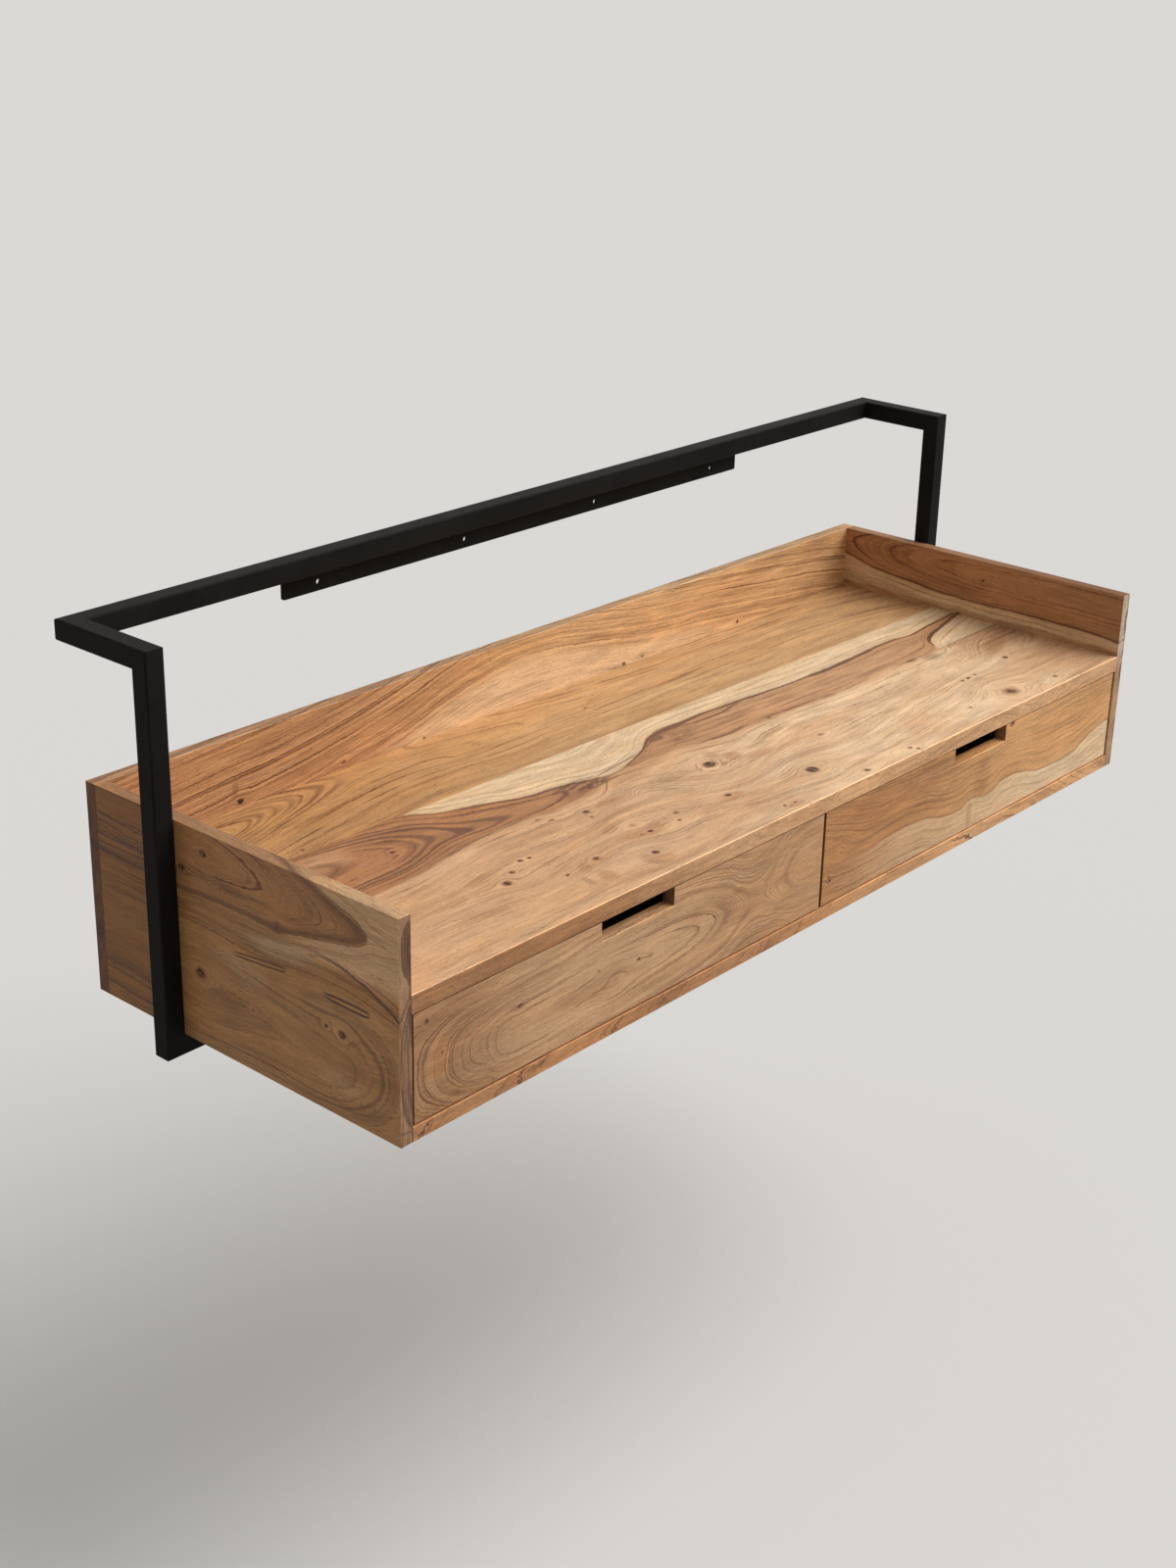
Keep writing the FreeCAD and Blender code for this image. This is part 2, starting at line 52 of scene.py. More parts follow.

# %% [markdown]
# ## Writing a material as arithmetic
#
# A node tree can be drawn by hand, but a timber pattern has hundreds of nodes. It is easier to
# read as formulas. `Value` wraps the output of a node, and +, -, * and / on it add Math nodes,
# so `(across - axis) * 2` builds the two nodes that work it out. Its other methods add the nodes
# for fades, pencil lines and drawn curves. A `Pen` adds all the rest.


# %% A number that varies over the surface
class Value:
    """The output of a node. Arithmetic and the methods below add nodes to the same tree."""

    def __init__(self, pen, socket):
        self.pen = pen
        self.socket = socket

    def __add__(self, other):
        return self.pen.math("ADD", self, other)

    def __sub__(self, other):
        return self.pen.math("SUBTRACT", self, other)

    def __rsub__(self, other):
        return self.pen.math("SUBTRACT", other, self)

    def __mul__(self, other):
        return self.pen.math("MULTIPLY", self, other)

    def __truediv__(self, other):
        return self.pen.math("DIVIDE", self, other)

    def __pow__(self, power):
        return self.pen.math("POWER", self, power)

    __radd__ = __add__
    __rmul__ = __mul__

    def __abs__(self):
        return self.pen.math("ABSOLUTE", self)

    def fade(self, start, end, low=0, high=1):
        """Runs smoothly from low to high while the value goes from start to end."""
        places = {0: self, 1: start, 2: end, 3: low, 4: high}
        return self.pen.add("MapRange", places, interpolation_type="SMOOTHSTEP")

    def clamp(self):
        """Keeps the value between 0 and 1."""
        return self.pen.add("Clamp", {0: self})

    def between(self, opens, full, wanes, shut):
        """Rises from opens to full, stays at 1, and falls from wanes to shut."""
        return self.fade(opens, full) * self.fade(shut, wanes)

    def stroke(self, half_width):
        """A soft pencil line: 1 where the value is 0, and nothing beyond about half_width."""
        return abs(self).fade(half_width * 1.4, half_width * 0.3)

    def strokes(self, rows):
        """Pencil lines where the value has given sizes. A row is (size, half width, darkness)."""
        return most(*[(self - size).stroke(thick) * dark for size, thick, dark in rows])

    def guide(self, places):
        """A smooth line drawn through given points: the height it has at each distance along the board."""
        starts, heights = zip(*places)
        low, span = min(heights), max(max(heights) - min(heights), 1e-6)
        length = starts[-1] - starts[0]
        node = self.pen.tree.nodes.new("ShaderNodeFloatCurve")
        node.mapping.use_clip = False
        line = node.mapping.curves[0]
        spots = [((start - starts[0]) / length, (height - low) / span) for start, height in places]
        line.points[0].location, line.points[1].location = spots[0], spots[-1]
        for spot in spots[1:-1]:
            line.points.new(*spot)
        node.mapping.update()
        self.pen.wire(node, "Factor", 1)
        self.pen.wire(node, "Value", (self - starts[0]) / length)
        return Value(self.pen, node.outputs[0]) * span + low


def most(first, *others):
    """The greatest of several values."""
    for other in others:
        first = first.pen.math("MAXIMUM", first, other)
    return first


def least(first, *others):
    """The smallest of several values."""
    for other in others:
        first = first.pen.math("MINIMUM", first, other)
    return first


def patch(x, y, middle, reach):
    """1 in the middle of a soft oval patch, and 0 from its rim on."""
    right = (x - middle[0]) / reach[0]
    up = (y - middle[1]) / reach[1]
    return (right * right + up * up).fade(1, 0)


def patches(x, y, rows):
    """Several patches, each (x, y, reach along x, reach along y, strength)."""
    return most(*[patch(x, y, row[:2], row[2:4]) * row[4] for row in rows])


# %% A node tree written step by step
class Pen:
    """Writes a node tree: every call adds a node or a few, and hands back the last one's output."""

    def __init__(self, tree):
        self.tree = tree

    def wire(self, node, place, value):
        """Links a Value to a node's input, or types a plain number or colour into it."""
        socket = node.inputs[place]
        if isinstance(value, Value):
            self.tree.links.new(value.socket, socket)
        elif socket.type == "RGBA":
            socket.default_value = (*value, 1)
        else:
            socket.default_value = value

    def add(self, kind, inputs, out=0, **settings):
        """Any shader node, with its settings and inputs filled in."""
        node = self.tree.nodes.new("ShaderNode" + kind)
        for name, setting in settings.items():
            setattr(node, name, setting)
        for place, value in inputs.items():
            self.wire(node, place, value)
        return Value(self, node.outputs[out])

    def math(self, operation, *terms):
        """One Math node, for what +, -, * and / don't cover."""
        return self.add("Math", dict(enumerate(terms)), operation=operation)

    def vector(self, operation, *terms, out=0):
        """The same for vectors."""
        return self.add("VectorMath", dict(enumerate(terms)), out=out, operation=operation)

    def point(self, x, y, z=0):
        """A vector from its three numbers."""
        return self.add("CombineXYZ", {0: x, 1: y, 2: z})

    def split(self, vector):
        """The three numbers of a vector."""
        node = self.tree.nodes.new("ShaderNodeSeparateXYZ")
        self.wire(node, 0, vector)
        return [Value(self, socket) for socket in node.outputs]

    def noise(self, x, y, z=0, detail=2, roughness=0.5):
        """Soft noise from about 0.2 to 0.8, one unit of its coordinates to a swell."""
        places = {"Vector": self.point(x, y, z), "Scale": 1, "Detail": detail, "Roughness": roughness}
        return self.add("TexNoise", places, noise_dimensions="3D")

    def noise_along(self, at, detail=2):
        """The same noise along a line, for rings that one number tells apart."""
        return self.add("TexNoise", {"W": at, "Scale": 1, "Detail": detail}, noise_dimensions="1D")

    def blend(self, factor, first, second, way="MIX"):
        """Mixes two colours."""
        return self.add("Mix", {0: factor, 6: first, 7: second}, out=2, data_type="RGBA", blend_type=way)

    def use(self, group, **inputs):
        """Puts a node group in, and hands back its outputs by name."""
        node = self.tree.nodes.new("ShaderNodeGroup")
        node.node_tree = group
        for name, value in inputs.items():
            self.wire(node, name, value)
        return {socket.name: Value(self, socket) for socket in node.outputs}


# %% Groups and finishes
SOCKETS = {"number": "NodeSocketFloat", "colour": "NodeSocketColor", "place": "NodeSocketVector"}


def new_group(name, inputs, outputs):
    """An empty node group: its pen, its inputs as Values, and its output node."""
    tree = bpy.data.node_groups.new(name, "ShaderNodeTree")
    for way, sockets in (("INPUT", inputs), ("OUTPUT", outputs)):
        for kind, labels in sockets.items():
            for label in labels.split():
                tree.interface.new_socket(label, in_out=way, socket_type=SOCKETS[kind])
    pen = Pen(tree)
    entry = tree.nodes.new("NodeGroupInput")
    given = {socket.name: Value(pen, socket) for socket in entry.outputs if socket.name}
    return pen, given, tree.nodes.new("NodeGroupOutput")


def new_finish(name):
    """A new material: its pen, its Principled shader, and x, y, z on the object in mm."""
    material = bpy.data.materials.new(name)
    material.use_nodes = True
    pen = Pen(material.node_tree)
    in_mm = pen.vector("MULTIPLY", pen.add("TexCoord", {}, out=3), (MM, MM, MM))
    return material, pen, material.node_tree.nodes["Principled BSDF"], pen.split(in_mm)


def finish(pen, shader, colour, roughness, height, strength, depth, specular):
    """Wires a shader up. The height makes a bump of the given strength and depth in metres."""
    pen.wire(shader, "Base Color", colour)
    pen.wire(shader, "Roughness", roughness)
    pen.wire(shader, "Normal", pen.add("Bump", {"Strength": strength, "Distance": depth, "Height": height}))
    shader.inputs["Specular IOR Level"].default_value = specular


def dress(material, *names):
    """Gives CAD nodes a finish by putting it in their material slots."""
    for name in names:
        for slot in NODES[name].material_slots:
            slot.material = material


print("helpers ready")

# %% [markdown]
# ## Knots
#
# A knot is the foot of a branch. The trunk's fibres flow round it like water round a stone, and
# its heart is nearly black. One knot needs a soft hill exp(-distance²). The hill darkens the
# middle, and it also holds back the coordinates near it, so that every ring line drawn with
# them bends round the knot. The same small group is used for all knots, one after the other.

# %% One knot
knot_pen, given, knot_out = new_group(
    "knot",
    {"place": "Place Centre Stretch Drag", "number": "Pull Depth Dark"},
    {"place": "Drag", "number": "Dark"},
)
offset = knot_pen.vector("SUBTRACT", given["Place"], given["Centre"])
scaled = knot_pen.vector("MULTIPLY", offset, given["Stretch"])
square = knot_pen.vector("DOT_PRODUCT", scaled, scaled, out=1)
hill = knot_pen.math("POWER", math.exp(-1 / 9), square)
pull = knot_pen.add("VectorMath", {0: offset, "Scale": hill * given["Pull"]}, operation="SCALE")
knot_pen.wire(knot_out, "Drag", knot_pen.vector("ADD", given["Drag"], pull))
knot_pen.wire(knot_out, "Dark", most(given["Dark"], hill * given["Depth"]))
KNOT = knot_pen.tree
print("knot group:", len(KNOT.nodes), "nodes")

# %% A row of knots
KNOT_LENGTH = 1.25
KNOT_PULL = 0.8


def knots(pen, along, across, spots, eddies=()):
    """Bends a board's two coordinates round its knots, and says how dark each place is. A knot
    is (along, across, size, depth): depth 1 has a black heart, 0.9 is only a brown stain, and
    above 1 the pale pith shows. An eddy is a knot that lies under the face, with nothing dark:
    (along, across, size, pull)."""
    here = pen.point(along, across)
    drag, dark = (0, 0, 0), 0
    rows = [(x, y, size, KNOT_PULL, depth) for x, y, size, depth in spots]
    rows += [(x, y, size, pull, 0) for x, y, size, pull in eddies]
    for x, y, size, pull, depth in rows:
        stretch = (1 / (KNOT_LENGTH * size), 1 / size, 0)
        places = {"Place": here, "Centre": (x, y, 0), "Stretch": stretch, "Pull": pull}
        made = pen.use(KNOT, Depth=depth, Drag=drag, Dark=dark, **places)
        drag, dark = made["Drag"], made["Dark"]
    if not rows:
        return along, across, 0
    bent = pen.split(pen.vector("SUBTRACT", here, drag))
    return bent[0], bent[1], dark


# %% [markdown]
# ## Acacia
#
# Acacia has golden to brown heartwood with dark growth lines, and cream sapwood. All that
# differs between two boards is how the rings cut the face, so the group below takes that as one
# number, the *ring*: a distance in mm across the growth rings. Where the ring number is constant
# on the face, a growth line runs. The group adds what all acacia shares: uneven rings with a
# crisp late edge, broad soft bands, and fibre streaks and short open pores along the board.

# %% Colours of acacia
HONEY = (0.575, 0.305, 0.122)
PALE_HONEY = (0.67, 0.398, 0.186)
ROSY_TAN = (0.67, 0.385, 0.2)
PALE_TAN = (0.83, 0.575, 0.35)
LINE_BROWN = (0.19, 0.075, 0.028)
WARM_HEART = (0.43, 0.186, 0.072)
DEEP_HEART = (0.13, 0.048, 0.026)
CREAM = (0.86, 0.63, 0.395)
CREAM_LINE = (0.48, 0.285, 0.125)
STAIN = (0.115, 0.05, 0.033)
KNOT_HALO = (0.24, 0.1, 0.042)
KNOT_HEART = (0.062, 0.026, 0.013)
KNOT_PITH = (0.27, 0.18, 0.125)
END_GREY = (0.14, 0.08, 0.052)
WARM_CAST = (1.025, 0.985, 0.94)
COOL_CAST = (0.99, 1, 1.02)

# %% The timber all boards share
timber, given, timber_out = new_group(
    "acacia timber",
    {"number": "Ring Along Across Below Contrast Sap Heart Stain Knot End Light", "colour": "Ground Line"},
    {"colour": "Colour", "number": "Gloss Height"},
)


def growth_lines(pen, ring, spacing, unevenness, start, sharp=0.94):
    """Lines that darken slowly across each ring and stop sharply: the fraction of the ring
    count, which rises from 0 to 1 in each ring. Every ring has a random strength of its own."""
    count = ring / spacing + pen.noise_along(ring / (spacing * 3.2), 1) * unevenness
    part = pen.math("FRACT", count)
    strength = pen.add("TexWhiteNoise", {"W": pen.math("FLOOR", count)}, noise_dimensions="1D")
    return part.fade(start, 0.92) * part.fade(1, sharp) * (strength * strength * 0.92 + 0.08)


# %% Growth lines, fibres and pores
NARROW_RINGS, BROAD_RINGS, FINE_RINGS = 4.2, 12, 1.7
ring, along, across, below = (given[label] for label in ("Ring", "Along", "Across", "Below"))
knot_rise = timber.math("POWER", given["Knot"], 3)
feather = timber.noise(along / 7, across / 1.2, below / 2) - 0.5
ring = ring + knot_rise * 6 + feather * 1.5
patchy = timber.noise(along / 80, ring / 7, below / 25).fade(0.36, 0.62, 0.25, 1.3)
narrow = growth_lines(timber, ring, NARROW_RINGS, 3, 0.62, 0.97)
broad = growth_lines(timber, ring + 90, BROAD_RINGS, 2.6, 0.1)
fine = growth_lines(timber, ring + 40, FINE_RINGS, 2, 0.45)
growth = (narrow * 1.3 + broad * 0.42) * patchy
bands = timber.noise_along(ring / 14, 3) - 0.5
hair = timber.noise_along(ring / 1.9) - 0.5
fibre = timber.noise(along / 40, across / 1.3, below / 3, 4, 0.68) - 0.5
pore = timber.noise(along / 6, across / 0.8, below / 1, 1).fade(0.58, 0.7)
drift = timber.noise(along / 150, across / 32, below / 60, 3) - 0.5

# %% From rings to heartwood, sapwood and end grain
dark = growth * 1.3 + fine * 1 * patchy + bands * 1.3 + hair * 1.5 + 0.01
dark = (given["Contrast"] * dark + drift * 0.9).clamp()
wood = timber.blend(dark, given["Ground"], given["Line"])
pale_dark = (growth * 0.95 + fine * 0.7 + bands * 1.2 + hair * 1.1 + drift * 0.6 + 0.04).clamp()
wood = timber.blend(given["Sap"], wood, timber.blend(pale_dark, CREAM, CREAM_LINE))
wood = timber.blend(given["Heart"], wood, timber.blend(dark, WARM_HEART, DEEP_HEART))
sway = timber.noise(across / 34, below / 22) - 0.5
streaks = growth_lines(timber, below + sway * 30, 8.5, 1.6, 0.05, 0.66) * sway.fade(-0.14, 0.04, 0.4, 1)
wood = timber.blend(given["End"] * ((streaks * 2.2).clamp() * 0.74 + 0.1), wood, END_GREY)
wood = timber.blend(given["Stain"], wood, STAIN)

# %% Slow changes of tone over the board
cast = timber.noise(along / 200, across / 24, below / 60).fade(0.35, 0.65)
wood = timber.blend(1, wood, timber.blend(cast, WARM_CAST, COOL_CAST), "MULTIPLY")
mottle = timber.noise(along / 55, across / 13, below / 25 + 40) - 0.5
light = (1 + fibre * 1.25 + mottle * 0.52 + hair * given["Contrast"] * 0.5 - pore * 0.26) * given["Light"]
wood = timber.blend(1, wood, timber.point(light, light, light), "MULTIPLY")

# %% Knots, from halo to pith
fleck = timber.noise(along / 3, across / 2.4, below / 4, 3)
halo = (given["Knot"] + (fleck - 0.5) * 0.12).fade(0.74, 0.95, 0, 0.78)
wood = timber.blend(halo, wood, KNOT_HALO)
core = given["Knot"].fade(0.875, 0.94) * fleck.fade(0.6, 0.46, 0.15, 1)
wood = timber.blend(core, wood, KNOT_HEART)
pith = given["Knot"].fade(1, 1.02) * fleck.fade(0.44, 0.56, 0, 0.85)
timber.wire(timber_out, "Colour", timber.blend(pith, wood, KNOT_PITH))
timber.wire(timber_out, "Gloss", 0.46 + fibre * 0.18 + pore * 0.12 - dark * 0.04)
hollow = pore * 0.55 + core * 1.2 + growth * 0.12
timber.wire(timber_out, "Height", 1 - hollow + fibre * 0.35)
TIMBER = timber.tree
print("timber group:", len(TIMBER.nodes), "nodes")


# %% [markdown]
# ## How a board cuts its log
#
# Two fields make nearly every figure. Straight cuts give rings that are distances from the pith,
# so a line under the face and its depth are enough. Where the pith dives in or out of the board,
# the rings close into ovals. A drawn outline, and how far the ring number plunges
# inside it, put those ovals where they belong.

# %% Rings of a log, cut by a board
def log_rings(across, below, axis, depth):
    """Distance from the log's pith, which runs under the face: the root of the sum of two
    squares, how far across from the pith's line, and how deep the pith lies below."""
    return across.pen.math("SQRT", (across - axis) * (across - axis) + (below + depth) * (below + depth))


def squarish_ovals(across, below, axis, reach, squareness):
    """The same with another power than 2: above it, the ovals grow square shoulders."""
    aside = abs(across - axis) ** squareness
    inward = most(reach + below * 0.8, 0) ** squareness
    return (aside + inward) ** squareness.pen.math("DIVIDE", 1, squareness)


def nested_ovals(across, below, upper, lower, tips, plunge):
    """Rings inside a drawn outline: 0 on its rim, falling to -plunge on the line where the
    ovals have their tips. Outside, the ring number is the distance from the rim."""
    rise = (across - tips) / most(upper - tips, 1)
    fall = (tips - across) / most(tips - lower, 1)
    spread = least(most(rise, fall), 1)
    beyond = most(across - upper, lower - across, 0)
    return plunge * (spread * spread - 1) + beyond * 0.9 + below * 0.6


def soft_least(first, second, melt):
    """The lesser of two ring numbers, melted into each other where they meet."""
    return first.pen.math("SMOOTH_MIN", first, second, melt)


# %% Which way the surface faces
SQUARE_ON = (0.6, 0.9)


def facing(pen, axis):
    """How far the surface faces along the board's own x, y or z, from -1 to 1."""
    return pen.split(pen.add("TexCoord", {}, out=1))[axis]


def faces(pen, axis, side=1):
    """1 on faces that look along an axis, or against it where side is -1, and 0 elsewhere."""
    return facing(pen, axis).fade(SQUARE_ON[0] * side, SQUARE_ON[1] * side)


# %% [markdown]
# ## One board's finish
#
# Every board is made by the same steps: its own coordinates, slow waves and ragged fibres in
# them, its knots, then a *figure*. That is a function which works out the ring number, and where
# the wood is sapwood or heartwood, from the distances along, across and below the board's face.
# All its places and widths are in mm: x and y as on the desk, and z from the box's underside.

# %% One board
LENGTH_X_FACE_Z = (X, Y, Z)
LENGTH_X_FACE_Y = (X, Z, Y)
LENGTH_Y_FACE_X = (Y, Z, X)
BOX_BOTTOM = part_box("bottom_board")[0].z * MM
END_STRETCH = 1.6
# Painted highlight on the rounded edges of every board: how far a face turns before it starts, and how much
# lighter it paints them.
PAINTED_HIGHLIGHT_TURN = (0.96, 0.8)
PAINTED_HIGHLIGHT_GAIN = 0.6
PORE_DEPTH = 0.0004


def acacia_board(node, name, axes, face, figure, spots=(), eddies=(), waves=(10, 2.6)):
    """Dresses one board. axes names its length, width and thickness. face is where its best face
    lies along the thickness, and the sign of the way in. Its end grain goes in END_STRETCH times
    faster. true holds the distances along and across before waves and knots bent them."""
    material, pen, shader, xyz = new_finish(name)
    along, across = xyz[axes[0]], xyz[axes[1]]
    below = (xyz[axes[2]] - face[0]) * face[1]
    if axes[1] == Z:
        across = across - BOX_BOTTOM
    true = (along, across)
    turned = [abs(facing(pen, axis)) for axis in (X, Y, Z)]
    end = turned[axes[0]].fade(*SQUARE_ON)
    painted_edge_highlight = most(*turned).fade(*PAINTED_HIGHLIGHT_TURN)
    slow = pen.noise(along / 120, across / 45, below / 45) - 0.5
    quick = pen.noise(along / 32, across / 10, below / 12) - 0.5
    across = across + slow * waves[0] + quick * waves[1]
    ragged = pen.noise(along / 5, across / 5, below / 8) - 0.5
    frayed = pen.noise(along / 4 + 70, across / 4, below / 8) - 0.5
    along = along + ragged * 3.4
    along_bent, across_bent, dark = knots(pen, along, across + frayed * 2.2, spots, eddies)
    made = {"sap": 0, "heart": 0, "stain": 0, "ground": HONEY, "contrast": 0.8, "light": 1}
    made.update(figure(pen, along_bent, across_bent, below * (1 + end * END_STRETCH), true))
    if isinstance(made["sap"], Value):
        made["sap"] = made["sap"] * (1 - end)
    # Painted highlight: rounded edges are painted up to 60% lighter, like an arris catching the light.
    made["light"] = made["light"] * (1 + painted_edge_highlight * PAINTED_HIGHLIGHT_GAIN)
    made = {label.title(): value for label, value in made.items()}
    places = {"Along": along, "Across": across_bent, "Below": below}
    out = pen.use(TIMBER, Line=LINE_BROWN, Knot=dark, End=end, **places, **made)
    looks = out["Colour"], out["Gloss"], out["Height"]
    finish(pen, shader, *looks, strength=0.6, depth=PORE_DEPTH, specular=0.22)
    dress(material, node)
    print(name, "finish:", len(pen.tree.nodes), "nodes,", len(spots), "knots")


# %% [markdown]
# ## The worktop
#
# Two staves are glued into the worktop. The back one is quiet honey-coloured wood with a
# cathedral arch at its left end. The front one holds the pith of the tree: a dark figure of
# nested ovals at the left, cream sapwood beside it, a rosy band to its right, and a scatter of
# knots towards the front edge.

# %% Worktop knots
WORKTOP_KNOTS = [
    (-19, -266, 5.4, 1.04), (43, -350, 4.9, 1.04), (381, -372, 9, 0.93), (-362, -312, 3.4, 1),
    (-342, -301, 2.2, 1), (-319, -289, 2.4, 1), (-309, -290, 1.6, 1), (-195, -259, 3, 1),
    (-200, -269, 2, 0.95), (-312, -339, 2.2, 0.96), (-268, -334, 2.8, 1), (-219, -363, 2.8, 1),
    (-188, -310, 4.6, 0.88), (-186, -331, 2.3, 1), (-198, -330, 1.4, 0.95), (-147, -334, 1.8, 1),
    (-136, -320, 3.2, 0.94), (-67, -329, 3.4, 0.97), (-241, -237, 1.6, 0.93), (-232, -248, 1.8, 0.93),
    (128, -230, 1.9, 1), (-49, -384, 1.7, 0.96), (-35, -387, 1.7, 0.96), (81, -390, 3.6, 0.95),
    (162, -387, 1.9, 0.97), (166, -393, 1.9, 0.97), (306, -367, 1.7, 0.98), (458, -381, 2.6, 0.97),
    (473, -308, 2.8, 1), (371, -316, 1.8, 1), (383, -316, 2.2, 1), (398, -315, 1.6, 1),
    (128, -300, 3.4, 0.9), (-387, -192, 2.6, 0.97), (-440, -129, 1.8, 0.95), (12, -73, 1.8, 0.94),
]
WORKTOP_EDDIES = [
    (-14, -262, 17, 0.55), (-340, -302, 16, 0.5), (45, -348, 13, 0.45), (-170, -322, 18, 0.5),
    (384, -368, 15, 0.45), (-225, -360, 12, 0.35), (150, -305, 18, 0.35),
]


# %% Back stave of the worktop
def back_stave_rings(x, y, below):
    """Straight grain with a slow wave, and at the left a cathedral arch that points right."""
    wave = x.guide([
        (-566, -58), (-456, -27), (-398, -13), (-321, -3), (-250, 0), (-166, -7), (-100, -10), (300, -10),
        (390, -12), (480, -24), (566, -48),
    ])
    arch_line = x.guide([(-566, -66), (-456, -48), (-380, -36), (-301, -29), (-200, -24), (566, -20)])
    arch_depth = x.guide([
        (-566, 4), (-456, 17), (-413, 23), (-360, 32), (-326, 37), (-301, 40), (-250, 43), (-150, 45),
        (0, 46), (566, 46),
    ])
    arch = log_rings(y, below, arch_line, arch_depth)
    straight = (wave - y) * 0.9 - 6 + below * 0.7
    straightened = y.fade(-78, -36, -215, 260)
    return arch + (straight - arch) * x.fade(-340, straightened)


def back_stave_marks(x, y, ring):
    """A dark split along the arch, and a few bold rings at its left end."""
    split_line = x.guide([(-460, -88), (-400, -70), (-348, -53), (-326, -43), (-300, -30)])
    split = (y - split_line).stroke(0.8) * x.between(-440, -360, -334, -322)
    arches = ring.strokes([(40, 1, 0.5), (36.5, 0.8, 0.38), (30, 1, 0.42), (22.5, 1, 0.42)])
    return most(split * 0.55, arches * x.fade(-285, -330) * y.fade(-100, -70))


# %% Front stave of the worktop
def front_stave_rims(x):
    """The rims of the dark figure: its lines close between them at the left."""
    upper = x.guide([
        (-566, -124), (-455, -127), (-350, -129), (-328, -135), (-290, -159), (-239, -178), (-208, -190),
        (-162, -199), (-139, -206), (-122, -211), (-96, -215), (-69, -210), (-46, -204), (-23, -188),
        (0, -175), (24, -170), (50, -169), (124, -174), (174, -179), (232, -182), (321, -182), (437, -181),
        (464, -185), (503, -182), (566, -177),
    ])
    lower = x.guide([
        (-566, -246), (-413, -244), (-359, -237), (-282, -227), (-239, -228), (-208, -236), (-170, -234),
        (-146, -227), (-130, -217), (-114, -209), (-98, -210), (-69, -216), (0, -230), (50, -234),
        (89, -230), (230, -236), (420, -236), (445, -231), (456, -219), (476, -207), (499, -200),
        (534, -193), (566, -186),
    ])
    return upper, lower


def front_stave_rings(x, y, below, upper, lower):
    """Nested ovals at the left, and to the right lines that follow the nearer rim. Below the
    figure the lower rim is levelled and sinks a little, so the lines there run calmly."""
    tips = x.guide([
        (-566, -170), (-456, -176), (-387, -190), (-343, -194), (-310, -205), (-272, -212), (-240, -213),
        (-200, -212), (-139, -208), (566, -208),
    ])
    plunge = x.guide([
        (-566, 40), (-456, 33), (-420, 30), (-384, 26), (-343, 19), (-325, 17), (-310, 15), (-272, 12.5),
        (-240, 10.5), (-200, 8), (-160, 5), (-127, 1), (-100, 0), (566, 0),
    ])
    near_figure = y.fade(-330, -235)
    sink = x.guide([
        (-566, 0), (-200, 0), (-100, -14), (-20, -25), (60, -29), (200, -24), (350, -15), (566, -8),
    ])
    calm_lower = (lower + 236) * near_figure - 236 + sink * y.fade(-236, -330)
    left = nested_ovals(y, below, upper, calm_lower, tips, plunge)
    nearest_rim = least(upper - y, y - calm_lower)
    right = abs(nearest_rim) * 0.9 + below * 0.6
    return left, left + (right - left) * x.fade(-150, -70) + 58


# %% Heartwood of the worktop
def worktop_heart(pen, x, y, true, upper, lower):
    """Heartwood fills the figure between its rims, warmer at the left and with an orange eye. It
    also shades the stripes at the right end, an arc round the large knot, and the small knots."""
    melt = x.between(10, 120, 380, 436)
    heart = (upper - y).fade(-0.8, 1.4) * (y - lower).fade(melt * -9 - 0.8, melt * 9 + 1.4)
    warmth = x.guide([
        (-566, 0.85), (-330, 0.85), (-220, 0.8), (-140, 0.55), (-60, 0.5), (0, 0.42), (150, 0.31),
        (350, 0.25), (450, 0.28), (566, 0.5),
    ])
    orange_eye = patch(x, y, (-448, -166), (40, 24))
    stripes_zone = x.fade(440, 530) * y.between(-296, -270, -240, -235)
    arc = patches(*true, [
        (2, -252, 11, 13, 0.8), (16, -269, 15, 12, 1), (42, -284, 28, 9, 1), (84, -291, 40, 8, 0.8),
        (128, -295, 36, 6, 0.5),
    ])
    halos = patches(x, y, [
        (-291, -336, 13, 13, 0.42), (-284, -364, 14, 17, 0.46), (-220, -366, 15, 15, 0.46),
        (-190, -326, 28, 11, 0.46), (-162, -264, 22, 8, 0.5), (-196, -308, 18, 9, 0.4),
        (-69, -329, 26, 8, 0.46), (-39, -389, 18, 7, 0.5), (-284, -283, 24, 6, 0.34),
        (-366, -296, 20, 9, 0.34),
    ])
    halos = halos * (1 - faces(pen, Y, -1))
    return heart, most(heart * warmth * (1 - orange_eye * 0.55), stripes_zone * 0.3, arc * 0.5, halos)


